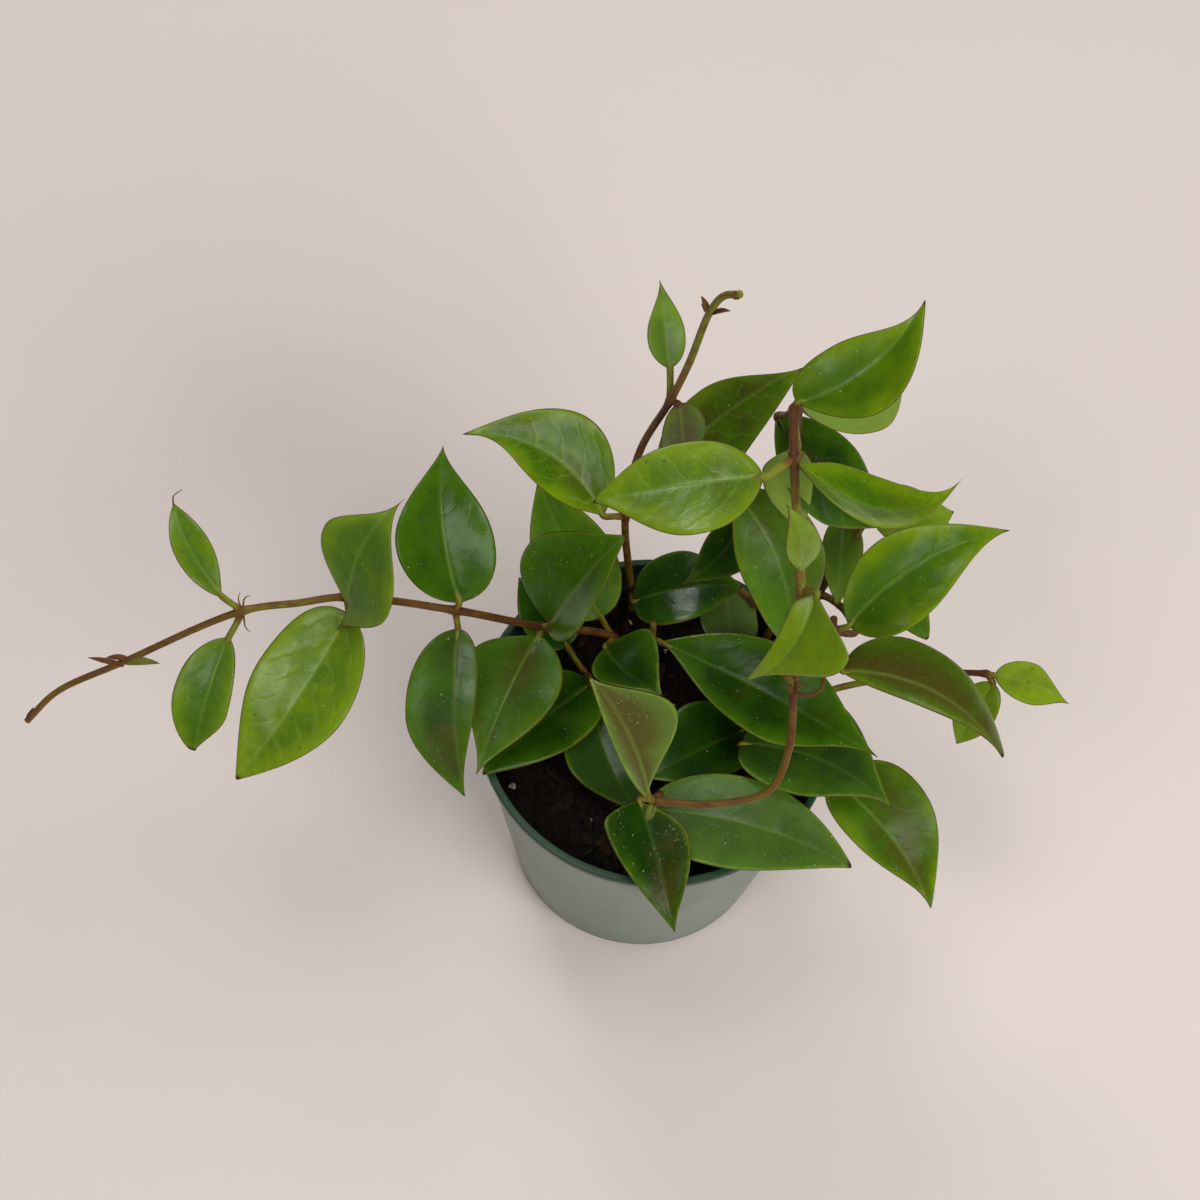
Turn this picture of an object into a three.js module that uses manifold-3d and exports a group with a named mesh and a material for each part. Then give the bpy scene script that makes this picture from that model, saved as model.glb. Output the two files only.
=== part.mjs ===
// A young trailing hoya in a round nursery pot, millimetres, +Z up.
// The origin is the middle of the pot's flat underside; +Y points away from the side the plant is
// usually looked at from, and the longest vine trails out to -X.
import * as THREE from "three";
import { mergeVertices } from "three/addons/utils/BufferGeometryUtils.js";
import Module from "manifold-3d";

const wasm = await Module();
wasm.setup();

// Driving dimensions
const POT_HEIGHT = 85;
const POT_RIM_RADIUS = 51;
const POT_FOOT_RADIUS = 40;
const POT_WALL = 1.5;
const POT_LIP = 0.7; // how far the rolled lip stands out over the wall
const POT_LIP_HEIGHT = 2.6;
const POT_FLOOR = 2.2;
const DRAIN_HOLES = 8;
const DRAIN_HOLE_RADIUS = 4;
const DRAIN_RING_RADIUS = 29;
const SOIL_TOP = 73;
const GAP = 0.4; // clearance between the soil and what it touches
const BLADE_THICKNESS = 1.1; // along the midrib; the margins are thinner
const MARGIN_THICKNESS = 0.8;
const BLADE_STATIONS = 7;
const BLADE_LANES = 4;
const CREASE = 0.35; // how much of a blade's fold sits at its midrib, the rest curls outwards
const ROUNDNESS = 2.2; // how round the foot of a blade is; 2 is an ellipse
const PETIOLE_RADIUS = 0.95;
const STEM_SIDES = 6;

// Every vine: its stem as points from inside the soil to its end, and its leaves in order.
// A leaf: [node on the stem, blade base, blade tip, width, roll, arch, fold, widest, bow, taper,
// lean, lobe, foot], the last three only where a blade needs them.
//   roll turns the blade about its midrib in degrees; fold lifts its margins in degrees;
//   arch and bow bend the midrib upwards and to its right, as a share of its length;
//   widest is where the blade is widest, from 0 at the base to 1 at the tip;
//   taper is 1 for a plain point, less for a blunt one, more for a drawn-out one;
//   lean makes the right half wider and the left half narrower, as a share of the half-width;
//   lobe carries the right half back beyond the base, or the left half where it is negative;
//   foot is 1 for a round base and more for a narrow one.
// Where the halves of a blade differ, widest, taper and foot are pairs, the left half's value first.
// A scale is one of the small dry bracts at the young nodes: [base, tip, width, arch].
const vines = [
  {
    name: "vine_left",
    radii: [1.2, 0.9],
    path: [
      [-8, 24, 64], [-14, 26, 80], [-34.5, 18, 98], [-58, 12, 115], [-87, 9.4, 122],
      [-100, 7, 120.5], [-115, 4.3, 118], [-148, -8, 104], [-166, -15, 96], [-174, -22, 90],
    ],
    leaves: [
      [1, [-18, 29, 86], [-40, 61, 106], 25, 0, 0.05, 15, 0.4, -0.03, 1],
      [1, [-16, 18.5, 88.5], [1, -3.5, 105], 22, 0, 0.06, 20,
       [0.34, 0.49], 0.09, [1.2, 1.9], -0.23, 0, [1.8, 2.8]],
      [2, [-32, 17, 102], [-13, 30, 134], 30, 0, 0.06, 25, 0.36, 0, 1.15, -0.26, 0.14],
      [2, [-35, 15.5, 98], [-48.5, -26, 90.5], 28.5, 0, 0.06, 20,
       [0.37, 0.33], 0.02, [1.35, 1.75], 0, 0, [1.7, 2.5]],
      [3, [-57, 13, 118], [-66.5, 58, 126], 27.5, 0, 0.04, 15, 0.34, -0.055, 1.45],
      [3, [-57, 8.5, 111], [-51, -30, 84], 20.5, 0, 0.06, 20,
       [0.27, 0.48], 0.04, [1.75, 1.05], 0.35, 0, [1.15, 1]],
      [4, [-86, 6, 122.5], [-72, 25.5, 150], 28.5, 0, 0.08, 15,
       [0.5, 0.32], -0.08, [3, 2], 0.15, 0.6, [2.7, 3.7]],
      [4, [-86.5, 6.5, 118], [-113.5, -34.5, 92], 30, 0, 0.03, 12, 0.42, -0.045, 1],
      [6, [-120.5, 6.5, 121], [-139, 34.5, 120], 10.5, 0, 0.06, 18,
       [0.42, 0.47], -0.06, [0.85, 0.95], 0.1, 0, [1.4, 2.6]],
      [6, [-118.5, -1.5, 112.5], [-125.5, -28, 94], 16.5, 0, 0.06, 14,
       [0.6, 0.5], 0.01, [1.4, 0.5], 0.15, 0, 1.35],
    ],
    scales: [
      [[-147, -8, 104.5], [-137, -8, 106], 2.6, 0.1],
      [[-149, -9, 104.5], [-156, -8, 107], 1.6, 0.1],
    ],
  },
  {
    name: "vine_top",
    radii: [1.15, 0.9],
    path: [
      [-9, 40, 64], [-10, 40, 84], [-14, 38, 130], [-12, 37.5, 165], [-6, 37, 190],
      [-2.7, 38, 205], [0.5, 39, 225], [3, 38.5, 232], [6.5, 36.5, 236],
    ],
    leaves: [
      [1, [-9, 34, 88], [22, 37.5, 97], 24, 0, 0.08, 14, 0.42, -0.02, 1],
      [2, [-20, 36, 132.5], [-61, 55.5, 136], 27, 0, 0.05, 25,
       0.38, 0.15, [2.3, 1.05], 0.1, 0, [2.4, 0.9]],
      [2, [-5, 48, 138], [29, 66, 168], 28, 0, 0.03, 20,
       [0.43, 0.25], -0.04, [1.7, 1], 0.3, 0, [0.85, 1]],
      [4, [-7, 41, 198], [-11.5, 64.5, 202], 9.6, 0, 0.04, 15,
       [0.29, 0.34], -0.01, [2, 1.35], 0, 0, 1.2],
      [4, [-4, 36, 190], [-1, 31, 168], 12.5, 0, 0.04, 14, 0.4, 0, 1],
    ],
    scales: [
      [[0, 38.5, 225], [-2, 41, 228], 1.6, 0.1],
      [[1, 38.5, 225], [5, 37.5, 228], 1.6, 0.1],
    ],
  },
  {
    name: "vine_arch",
    radii: [1.35, 0.95],
    path: [
      [23, 33, 64], [26, 37, 90], [25, 40, 130], [27, 38, 170], [25, 35, 194],
      [23.5, 30, 201], [24, 17, 200], [26.5, 6, 190], [29.5, -6, 178], [30, -15, 168],
      [31, -22.5, 156], [32, -32.5, 142], [28.5, -40.5, 134], [16.5, -43, 128], [0, -42.5, 124],
    ],
    leaves: [
      [1, [17, 44, 89], [21, 19, 83.5], 17, 0, 0.05, 0, [0.57, 0.45], 0, 1, 0, 0, 1.2],
      [2, [20, 41.5, 142], [2.5, 27, 113.5], 16, 0, 0.05, 14,
       [0.25, 0.47], -0.13, [1.7, 2], -0.2, 0, 1.1],
      [2, [14.5, 36.5, 150], [34.5, 10.5, 118.5], 26, 0, 0.08, -10,
       [0.57, 0.46], -0.05, [1.2, 0.5], -0.2, 0, [1.1, 2.15]],
      [4, [26, 43, 184], [54, 58, 175], 22, 0, 0.05, 14, 0.4, 0.11, 1],
      [4, [21.5, 42.5, 178.5], [60, 34.5, 144.5], 29, 0, 0.05, 14,
       [0.42, 0.15], 0.2, [1.75, 2.4], -0.05, 0, [2, 0.95]],
      [5, [24, 31.5, 202], [51, 50, 223], 22, 0, 0.02, 18,
       [0.38, 0.45], 0.14, [2.1, 1], 0.1, 0, [1.1, 1.9]],
      [5, [26.5, 30.5, 184], [29.5, 18.5, 165], 13.5, 0, 0.05, 10,
       [0.32, 0.2], 0.05, [0.5, 1.05], 0.3, 0, [2.1, 1.5]],
      [6, [17, 11, 200], [-23, 6, 189], 26.5, 0, 0.05, 10,
       [0.39, 0.44], -0.01, [1.35, 0.95], -0.12, 0, [1.6, 1.35]],
      [6, [24, 17, 199.5], [67, 24, 188], 25, -20, -0.06, 18,
       [0.37, 0.1], 0.3, [2, 1.8], 0.05, 0, [3.3, 2.2]],
      [8, [28, -4, 182], [22.5, 4.5, 199.5], 10.5, 0, 0.05, -15,
       [0.39, 0.12], 0.1, [1.5, 1.2], 0.2, 0, [3.5, 1.4]],
      [8, [33, -8, 180.5], [19, -21, 155.5], 21.5, 0, 0.08, 15,
       [0.12, 0.22], -0.16, [3, 0.8], -0.5, 0, [5, 3]],
      [14, [-1.5, -42.5, 126], [-20, -16, 140], 19, 0, 0.05, 15,
       [0.43, 0.51], 0.06, [0.9, 1.9], 0.45, 0, [1.6, 5]],
    ],
    scales: [
      [[31, -22, 157], [27, -21, 160], 2.4, 0.3],
      [[31.5, -23, 157], [38, -22, 161], 2.6, 0.3],
      [[0, -43, 124], [-1.5, -47, 121], 2.4, 0.2],
    ],
  },
  {
    name: "vine_right",
    radii: [1.2, 1.0],
    path: [
      [28, 29, 64], [34, 33, 88], [43, 35, 101], [51, 26, 108],
      [51.5, 15, 118], [44.5, 9.5, 129], [43, 8.5, 137],
    ],
    leaves: [
      [2, [46, 46, 128], [48, 29, 104], 12, 0, 0.05, 14, 0.35, 0, [1.3, 1.45], 0, 0, 1.1],
      [2, [53, 43.5, 132.5], [76, 48, 132], 21, 0, 0.05, 14, [0.37, 0.42], 0.07, [1.3, 1], 0.05, 0, 1.1],
      [3, [57, 40, 110], [73, 19, 110], 14, 0, 0.05, 14, 0.4, 0, 0.75],
      [5, [48, 10, 131], [88.5, 35.5, 145.5], 26, 0, 0.05, 20,
       [0.36, 0.31], -0.08, [1.1, 1.6], 0.13, 0, [1, 1.4]],
      [5, [48, 2, 120], [96.5, -9.5, 98], 20, 0, 0.08, -15,
       [0.36, 0.41], -0.1, [0.6, 1.65], -0.45, 0, [0.9, 1.6]],
    ],
    scales: [],
  },
  {
    name: "vine_runner",
    radii: [1.1, 0.9],
    path: [
      [30, 4, 64], [39, 8, 82], [50, 11, 90], [72, 16, 93.5], [86, 16.5, 97], [92, 16, 98.7],
    ],
    leaves: [
      [5, [94, 15.5, 99], [117, 12, 92], 13.5, 0, 0.05, 14,
       [0.43, 0.37], -0.03, [1.9, 1.5], 0.05, 0, [1.15, 1.75]],
      [5, [94, 14, 97], [87, 2, 80], 12, 0, 0.05, 14, 0.45, 0, 1],
    ],
    scales: [],
  },
  {
    name: "vine_middle",
    radii: [1.2, 1.0],
    path: [[-2, 24, 64], [-3, 22, 90], [-3, 23, 97]],
    leaves: [
      [1, [-1, 20, 92], [62.5, -11.5, 95], 30, 0, 0.06, 18,
       [0.5, 0.56], 0.01, [1.45, 2.1], 0, 0, [2.5, 3.5]],
    ],
    scales: [],
  },
  {
    name: "vine_low",
    radii: [1.2, 1.0],
    path: [[-20, 17, 64], [-20.5, 14, 77], [-19, 8, 85], [-18.5, 6, 89]],
    leaves: [
      [1, [-27, 20, 83.3], [-43, 37, 91.2], 18, 0, 0.06, 14, 0.4, 0, 1],
      [2, [-17.5, 6, 82.2], [-2, -27.5, 78.2], 24, 0, 0.05, 14, 0.48, 0.1, 1],
      [2, [-19, 9, 83], [-47, -24, 86.5], 25, 0, 0.06, 14, 0.4, 0, 1],
    ],
    scales: [],
  },
  {
    name: "vine_front",
    radii: [1.2, 1.0],
    path: [[4, -22, 64], [3, -24, 84], [2, -28, 92]],
    leaves: [
      [1, [-0.5, -28.5, 83.5], [57, -41.5, 87], 28.5, 0, 0.04, 14,
       [0.47, 0.38], -0.05, [0.85, 1.1], 0.07, 0, 0.8],
      [2, [-3, -29.5, 92.5], [10, -62.5, 80.5], 22, 0, 0.08, 18,
       [0.35, 0.12], 0, [1.45, 1.1], 0.1, 0, [2.9, 1.15]],
    ],
    scales: [],
  },
  {
    name: "vine_front_right",
    radii: [1.2, 1.0],
    path: [[18, -10, 64], [24, -10, 79], [38, -12, 84.5], [49, -14, 87.2], [54, -15, 86]],
    leaves: [
      [1, [26, -1, 83], [-1, -19, 83], 25, 0, 0.05, 14, 0.4, 0, 1, 0.1],
      [2, [24, -9, 90.5], [68, -23, 87], 31.5, 0, 0.06, 15, [0.41, 0.37], -0.08, [1.5, 1.8], -0.13],
      [4, [51, -14, 84], [83.5, -41.5, 60.5], 27, 0, 0.09, 16, 0.32, -0.03, [1, 1.7], -0.22, 0, 0.8],
    ],
    scales: [],
  },
];

const clamp01 = (x) => Math.min(1, Math.max(0, x));
const radians = (degrees) => (degrees * Math.PI) / 180;

// Half-width of a blade at s, as a share of its greatest half-width.
function outline(s, widest, taper, foot) {
  if (s < widest) return (1 - (1 - s / widest) ** ROUNDNESS) ** (foot / ROUNDNESS);
  return Math.cos((Math.PI / 2) * ((s - widest) / (1 - widest))) ** taper;
}

// The value for the half of the blade that v lies in: below 0 the left one, above 0 the right one.
const ofHalf = (value, v) => (Array.isArray(value) ? value[v > 0 ? 1 : 0] : value);

// A function giving the point of a blade's middle surface at s along it and v across it, and
// the direction that its upper face looks.
function bladeSurface(
  [, base, tip, width, roll, arch, fold, widest, bow, taper, lean = 0, lobe = 0, foot = 1],
) {
  const from = new THREE.Vector3(...base);
  const along = new THREE.Vector3(...tip).sub(from);
  const length = along.length();
  along.normalize();
  const up = new THREE.Vector3(0, 0, 1).addScaledVector(along, -along.z).normalize();
  up.applyAxisAngle(along, radians(roll));
  const across = new THREE.Vector3().crossVectors(along, up);
  const angle = radians(fold) || 1e-4;
  const crease = angle * CREASE;
  const curl = angle - crease;
  const at = (s, v) => {
    const share = outline(s, ofHalf(widest, v), ofHalf(taper, v), ofHalf(foot, v));
    const half = (width / 2) * share * (1 + lean * Math.sign(v));
    const carried = clamp01(v * Math.sign(lobe)) ** 1.5 * (1 - s) ** 3;
    const back = Math.abs(lobe) * (width / 2) * carried;
    const turned = crease + curl * Math.abs(v);
    const out = (Math.sign(v) * half * (Math.sin(turned) - Math.sin(crease))) / curl;
    const lift = (half * (Math.cos(crease) - Math.cos(turned))) / curl;
    const bend = length * 4 * s * (1 - s);
    return from
      .clone()
      .addScaledVector(along, length * s - back)
      .addScaledVector(up, lift + arch * bend)
      .addScaledVector(across, out + bow * bend);
  };
  return { at, up, length };
}

// A closed blade: two faces split into triangles alike, joined round the margin.
function blade(leaf, stations = BLADE_STATIONS, lanes = BLADE_LANES) {
  const { at, up } = bladeSurface(leaf);
  const points = [];
  const row = lanes + 1;
  for (const face of [1, -1])
    for (let i = 0; i <= stations; i++)
      for (let j = 0; j <= lanes; j++) {
        const s = 0.004 + 0.984 * (i / stations) ** 1.25;
        const v = -1 + (2 * j) / lanes;
        const thick = BLADE_THICKNESS + (MARGIN_THICKNESS - BLADE_THICKNESS) * Math.abs(v);
        points.push(at(s, v).addScaledVector(up, (face * thick) / 2));
      }
  const lower = (stations + 1) * row;
  const faces = [];
  const quad = (a, b, c, d) => faces.push([a, b, c], [a, c, d]);
  for (let i = 0; i < stations; i++)
    for (let j = 0; j < lanes; j++) {
      const a = i * row + j;
      quad(a, a + 1, a + row + 1, a + row);
      faces.push([lower + a, lower + a + row + 1, lower + a + 1]);
      faces.push([lower + a, lower + a + row, lower + a + row + 1]);
    }
  for (let i = 0; i < stations; i++) {
    const left = i * row;
    const right = left + lanes;
    quad(left, left + row, lower + left + row, lower + left);
    quad(right + row, right, lower + right, lower + right + row);
  }
  const last = stations * row;
  for (let j = 0; j < lanes; j++) {
    quad(j + 1, j, lower + j, lower + j + 1);
    quad(last + j, last + j + 1, lower + last + j + 1, lower + last + j);
  }
  return closedSolid(points, faces);
}

const stemCurve = (through) =>
  new THREE.CatmullRomCurve3(through.map((p) => new THREE.Vector3(...p)), false, "centripetal");

// A closed round rod through the given points, its radius going evenly from the first to the second.
function rod(through, [thick, thin], rings, sides = STEM_SIDES) {
  const curve = stemCurve(through);
  const frames = curve.computeFrenetFrames(rings, false);
  const points = [];
  const faces = [];
  for (let i = 0; i <= rings; i++) {
    const centre = curve.getPointAt(i / rings);
    const radius = thick + ((thin - thick) * i) / rings;
    for (let k = 0; k < sides; k++) {
      const a = (k / sides) * 2 * Math.PI;
      points.push(centre.clone()
        .addScaledVector(frames.normals[i], radius * Math.cos(a))
        .addScaledVector(frames.binormals[i], radius * Math.sin(a)));
    }
  }
  for (let i = 0; i < rings; i++)
    for (let k = 0; k < sides; k++) {
      const a = i * sides + k;
      const b = i * sides + ((k + 1) % sides);
      faces.push([a, b, b + sides], [a, b + sides, a + sides]);
    }
  const top = rings * sides;
  for (let k = 1; k < sides - 1; k++) {
    faces.push([0, k + 1, k]);
    faces.push([top, top + k, top + k + 1]);
  }
  return closedSolid(points, faces);
}

function closedSolid(points, faces) {
  return new wasm.Manifold(new wasm.Mesh({
    numProp: 3,
    vertProperties: new Float32Array(points.flatMap((p) => [p.x, p.y, p.z])),
    triVerts: new Uint32Array(faces.flat()),
  }));
}

// A three.js geometry, closed, as a solid.
function solidOf(geometry) {
  const bare = geometry.clone();
  bare.deleteAttribute("normal");
  bare.deleteAttribute("uv");
  const merged = mergeVertices(bare, 1e-3);
  return new wasm.Manifold(new wasm.Mesh({
    numProp: 3,
    vertProperties: merged.getAttribute("position").array,
    triVerts: new Uint32Array(merged.index.array),
  }));
}

function meshOf(name, solid, colour, roughness) {
  const { vertProperties, triVerts } = solid.getMesh();
  const geometry = new THREE.BufferGeometry();
  geometry.setAttribute("position", new THREE.BufferAttribute(vertProperties, 3));
  geometry.setIndex(new THREE.BufferAttribute(triVerts, 1));
  geometry.computeVertexNormals();
  const material = new THREE.MeshStandardMaterial({ color: colour, roughness, metalness: 0 });
  const mesh = new THREE.Mesh(geometry, material);
  mesh.name = name;
  return mesh;
}

// An upright cylinder, used to bore holes.
function bore(x, y, radius, bottom, top, sides) {
  const shape = new THREE.CylinderGeometry(radius, radius, top - bottom, sides);
  shape.rotateX(Math.PI / 2);
  shape.translate(x, y, (top + bottom) / 2);
  return solidOf(shape);
}

// The pot wall leans outwards from the foot; this is its outside at a height.
const potOutside = (z) => POT_FOOT_RADIUS + ((POT_RIM_RADIUS - POT_LIP - POT_FOOT_RADIUS) * z) / POT_HEIGHT;
const potInside = (z) => potOutside(z) - POT_WALL;

function pot() {
  const lipFoot = POT_HEIGHT - POT_LIP_HEIGHT;
  const profile = [
    [0, 0],
    [POT_FOOT_RADIUS - 1, 0],
    [potOutside(1), 1],
    [potOutside(lipFoot), lipFoot],
    [POT_RIM_RADIUS, lipFoot + 1],
    [POT_RIM_RADIUS, POT_HEIGHT - 0.5],
    [POT_RIM_RADIUS - 0.5, POT_HEIGHT],
    [potInside(POT_HEIGHT) + 0.4, POT_HEIGHT],
    [potInside(POT_HEIGHT), POT_HEIGHT - 0.5],
    [potInside(POT_FLOOR + 1), POT_FLOOR + 1],
    [potInside(POT_FLOOR) - 1, POT_FLOOR],
    [0, POT_FLOOR],
  ].map(([r, z]) => new THREE.Vector2(r, z));
  const shell = new THREE.LatheGeometry(profile, 44);
  shell.rotateX(Math.PI / 2);
  let body = solidOf(shell);
  for (let i = 0; i < DRAIN_HOLES; i++) {
    const a = ((i + 0.5) / DRAIN_HOLES) * 2 * Math.PI;
    const x = DRAIN_RING_RADIUS * Math.cos(a);
    const y = DRAIN_RING_RADIUS * Math.sin(a);
    body = body.subtract(bore(x, y, DRAIN_HOLE_RADIUS, -1, POT_FLOOR + 1, 16));
  }
  return body;
}

// Bark and loam with a gently uneven top, held off the pot by the gap.
function soil() {
  const bottom = POT_FLOOR + GAP;
  const profile = [
    [0, bottom],
    [potInside(bottom) - 1 - GAP, bottom],
    [potInside(bottom + 1) - GAP, bottom + 1],
    [potInside(SOIL_TOP - 1) - GAP, SOIL_TOP - 1],
    [potInside(SOIL_TOP) - 1.5, SOIL_TOP],
    [33, SOIL_TOP],
    [18, SOIL_TOP],
    [0, SOIL_TOP],
  ].map(([r, z]) => new THREE.Vector2(r, z));
  const heap = new THREE.LatheGeometry(profile, 40);
  heap.rotateX(Math.PI / 2);
  const place = heap.getAttribute("position");
  for (let i = 0; i < place.count; i++) {
    const x = place.getX(i);
    const y = place.getY(i);
    if (place.getZ(i) < SOIL_TOP - 0.01 || Math.hypot(x, y) > 40) continue;
    place.setZ(i, SOIL_TOP + 0.8 * Math.sin(0.31 * x + 1) * Math.cos(0.27 * y));
  }
  let body = solidOf(heap);
  for (const vine of vines) {
    const buried = stemCurve(vine.path).getPoints(80).filter((p) => p.z < SOIL_TOP + 3);
    const centre = buried[0].clone().lerp(buried[buried.length - 1], 0.5);
    const lean = Math.max(...buried.map((p) => Math.hypot(p.x - centre.x, p.y - centre.y)));
    const radius = vine.radii[0] + GAP + lean + 0.1;
    body = body.subtract(
      bore(centre.x, centre.y, radius, vine.path[0][2] - 1, SOIL_TOP + 5, 12));
  }
  return body;
}

// A leafy stem: the stem, a petiole to every leaf, the blades and the small scales, grown together.
function vineSolid({ path, radii, leaves, scales }) {
  const pieces = [rod(path, radii, path.length * 2)];
  for (const leaf of leaves) {
    const [node, base] = leaf;
    const { at } = bladeSurface(leaf);
    const inBlade = at(0.06, 0).toArray();
    const start = new THREE.Vector3(...path[node]);
    const half = start.clone().lerp(new THREE.Vector3(...base), 0.5);
    half.z -= 0.08 * start.distanceTo(half);
    pieces.push(rod([path[node], half.toArray(), base, inBlade],
      [PETIOLE_RADIUS, PETIOLE_RADIUS / 2], 3, 5));
    pieces.push(blade(leaf));
  }
  for (const [base, tip, width, arch] of scales)
    pieces.push(blade([0, base, tip, width, 0, arch, 10, 0.4, 0, 0.9], 3, 2));
  // Where a petiole bends sharply the joint can hold a pocket thinner than a hair; it is left out.
  const bodies = wasm.Manifold.union(pieces).decompose();
  return bodies.sort((a, b) => b.volume() - a.volume())[0];
}

const group = new THREE.Group();
group.add(meshOf("pot", pot(), 0x3d5248, 0.45));
group.add(meshOf("soil", soil(), 0x1d1712, 0.95));
for (const vine of vines) group.add(meshOf(vine.name, vineSolid(vine), 0x3f6b22, 0.38));

export default group;
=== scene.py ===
# %% [markdown]
# # A young trailing hoya in a nursery pot
#
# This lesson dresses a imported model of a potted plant: a round tapered nursery pot, bark soil, and
# nine wiry vines with thick waxy leaves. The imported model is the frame. It gives every size and
# place, and the finer pieces built here stand exactly where its solids stand. All lengths in the
# tables are millimetres, as a grower would measure them, and are turned into metres for Blender.

import math
from collections import namedtuple

import bmesh
import bpy
import numpy as np
from mathutils import Matrix, Vector, noise


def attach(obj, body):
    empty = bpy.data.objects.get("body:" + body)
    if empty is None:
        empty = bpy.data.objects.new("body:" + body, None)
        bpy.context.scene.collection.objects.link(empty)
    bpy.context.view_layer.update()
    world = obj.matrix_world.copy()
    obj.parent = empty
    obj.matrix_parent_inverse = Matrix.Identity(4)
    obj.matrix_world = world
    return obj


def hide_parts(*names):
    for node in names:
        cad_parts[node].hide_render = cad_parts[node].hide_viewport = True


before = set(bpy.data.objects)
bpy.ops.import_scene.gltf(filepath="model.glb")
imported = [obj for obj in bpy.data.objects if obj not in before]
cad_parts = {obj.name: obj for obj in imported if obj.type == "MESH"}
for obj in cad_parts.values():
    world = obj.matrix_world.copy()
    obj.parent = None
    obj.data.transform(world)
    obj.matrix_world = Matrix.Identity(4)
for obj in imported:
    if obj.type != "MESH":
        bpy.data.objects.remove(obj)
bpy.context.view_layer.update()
MM = 0.001


print("frame nodes:", sorted(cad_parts))

# %% [markdown]
# ## Camera
#
# The plant is looked at from well above and in front, as someone standing at a table sees it. A
# longer lens keeps the leaves in proportion. The place and the slight roll were found by laying the
# pot's rim and foot over the photograph, so the camera is described by those few values: how steeply
# it looks down, how far away it is, the point on the floor it looks at, and its roll.

# %% Camera
LOOK_DOWN = math.radians(62)
CAMERA_DISTANCE = 682 * MM
LOOK_AT = Vector((-18.8, 80.5, 0)) * MM
CAMERA_ROLL = math.radians(5.3)

forward = Vector((0, math.cos(LOOK_DOWN), -math.sin(LOOK_DOWN)))
level_right = Vector((1, 0, 0))
level_up = level_right.cross(forward)
right = level_right * math.cos(CAMERA_ROLL) + level_up * math.sin(CAMERA_ROLL)
up = level_up * math.cos(CAMERA_ROLL) - level_right * math.sin(CAMERA_ROLL)
camera = bpy.data.objects.new("camera", bpy.data.cameras.new("camera"))
camera.data.lens = 60
camera.data.sensor_width = 36
turn = Matrix((right, up, -forward)).transposed().to_4x4()
camera.matrix_world = Matrix.Translation(LOOK_AT - forward * CAMERA_DISTANCE) @ turn
bpy.context.scene.collection.objects.link(camera)
bpy.context.scene.camera = camera
print("camera stands at", [round(x, 3) for x in camera.matrix_world.translation], "m")

# %% [markdown]
# ## Light and floor
#
# The photograph has soft daylight that comes from all sides, and most of it from the front right:
# the wide shadow falls back and to the left. A studio gets the same light from large soft panels in a
# ring, with the front right one as the key. If every panel mirrored in the waxy leaves, their green
# would wash out, as it would under a bright even sky. So the ring only lights, and the leaves mirror
# four weaker panels, which put the broad highlights where the photograph has them. Each row gives a
# panel's degrees round from the right, degrees above the floor, size in metres, and watts.

# %% Soft panels and sky
PLANT_MIDDLE = Vector((0, 0, 0.08))
PANEL_DISTANCE = 1.5
PANEL_COLOUR = (1.0, 0.985, 0.975)
SKY_COLOUR = (0.96, 0.96, 1.0, 1)
SKY_STRENGTH = 0.03
LIGHTING_PANELS = [
    ("panel_front_right", 315, 36, 0.8, 13.0),
    ("panel_right", 20, 42, 0.8, 5.2),
    ("panel_back_left", 112, 38, 0.8, 6.0),
    ("panel_front_left", 225, 48, 0.8, 2.6),
]
MIRRORED_PANELS = [
    ("sheen_overhead", 150, 78, 0.5, 2.6),
    ("sheen_back_left", 122, 38, 0.3, 1.8),
    ("sheen_front_right", 330, 38, 0.4, 1.2),
    ("sheen_front_left", 231, 54, 0.42, 2.4),
]


def soft_panel(name, round_, above, size, watts, mirrored):
    """A square panel aimed at the plant, which shows in reflections only if it is mirrored."""
    light = bpy.data.objects.new(name, bpy.data.lights.new(name, "AREA"))
    light.data.shape = "SQUARE"
    light.data.size = size
    light.data.energy = watts
    light.data.color = PANEL_COLOUR
    round_, above = math.radians(round_), math.radians(above)
    level = math.cos(above)
    way = Vector((math.cos(round_) * level, math.sin(round_) * level, math.sin(above)))
    light.location = PLANT_MIDDLE + way * PANEL_DISTANCE
    light.rotation_mode = "QUATERNION"
    light.rotation_quaternion = (-way).to_track_quat("-Z", "Y")
    light.visible_glossy = mirrored
    bpy.context.scene.collection.objects.link(light)


for row in LIGHTING_PANELS:
    soft_panel(*row, mirrored=False)
for row in MIRRORED_PANELS:
    soft_panel(*row, mirrored=True)

sky = bpy.data.worlds.new("soft_sky")
sky.use_nodes = True
sky.node_tree.nodes["Background"].inputs["Color"].default_value = SKY_COLOUR
sky.node_tree.nodes["Background"].inputs["Strength"].default_value = SKY_STRENGTH
bpy.context.scene.world = sky
bpy.context.scene.view_settings.view_transform = "Standard"

# %% [markdown]
# ## A small language for finishes
#
# A finish is a tree of shader nodes. A recipe wraps such a tree and has one short word for each step
# that comes back again and again: put places a node and fills its inputs, maths and times do
# arithmetic, ramp turns a range of values into a soft mask, and layers lays coats of colour over a
# ground, each by its mask, as a painter would. Patches and spots place the two shared groups that
# the next cells build. In a recipe, the first number beside a pattern is its scale and the next ones
# are the range of its soft edge, and a number beside a mask is how strongly it counts.

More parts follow.
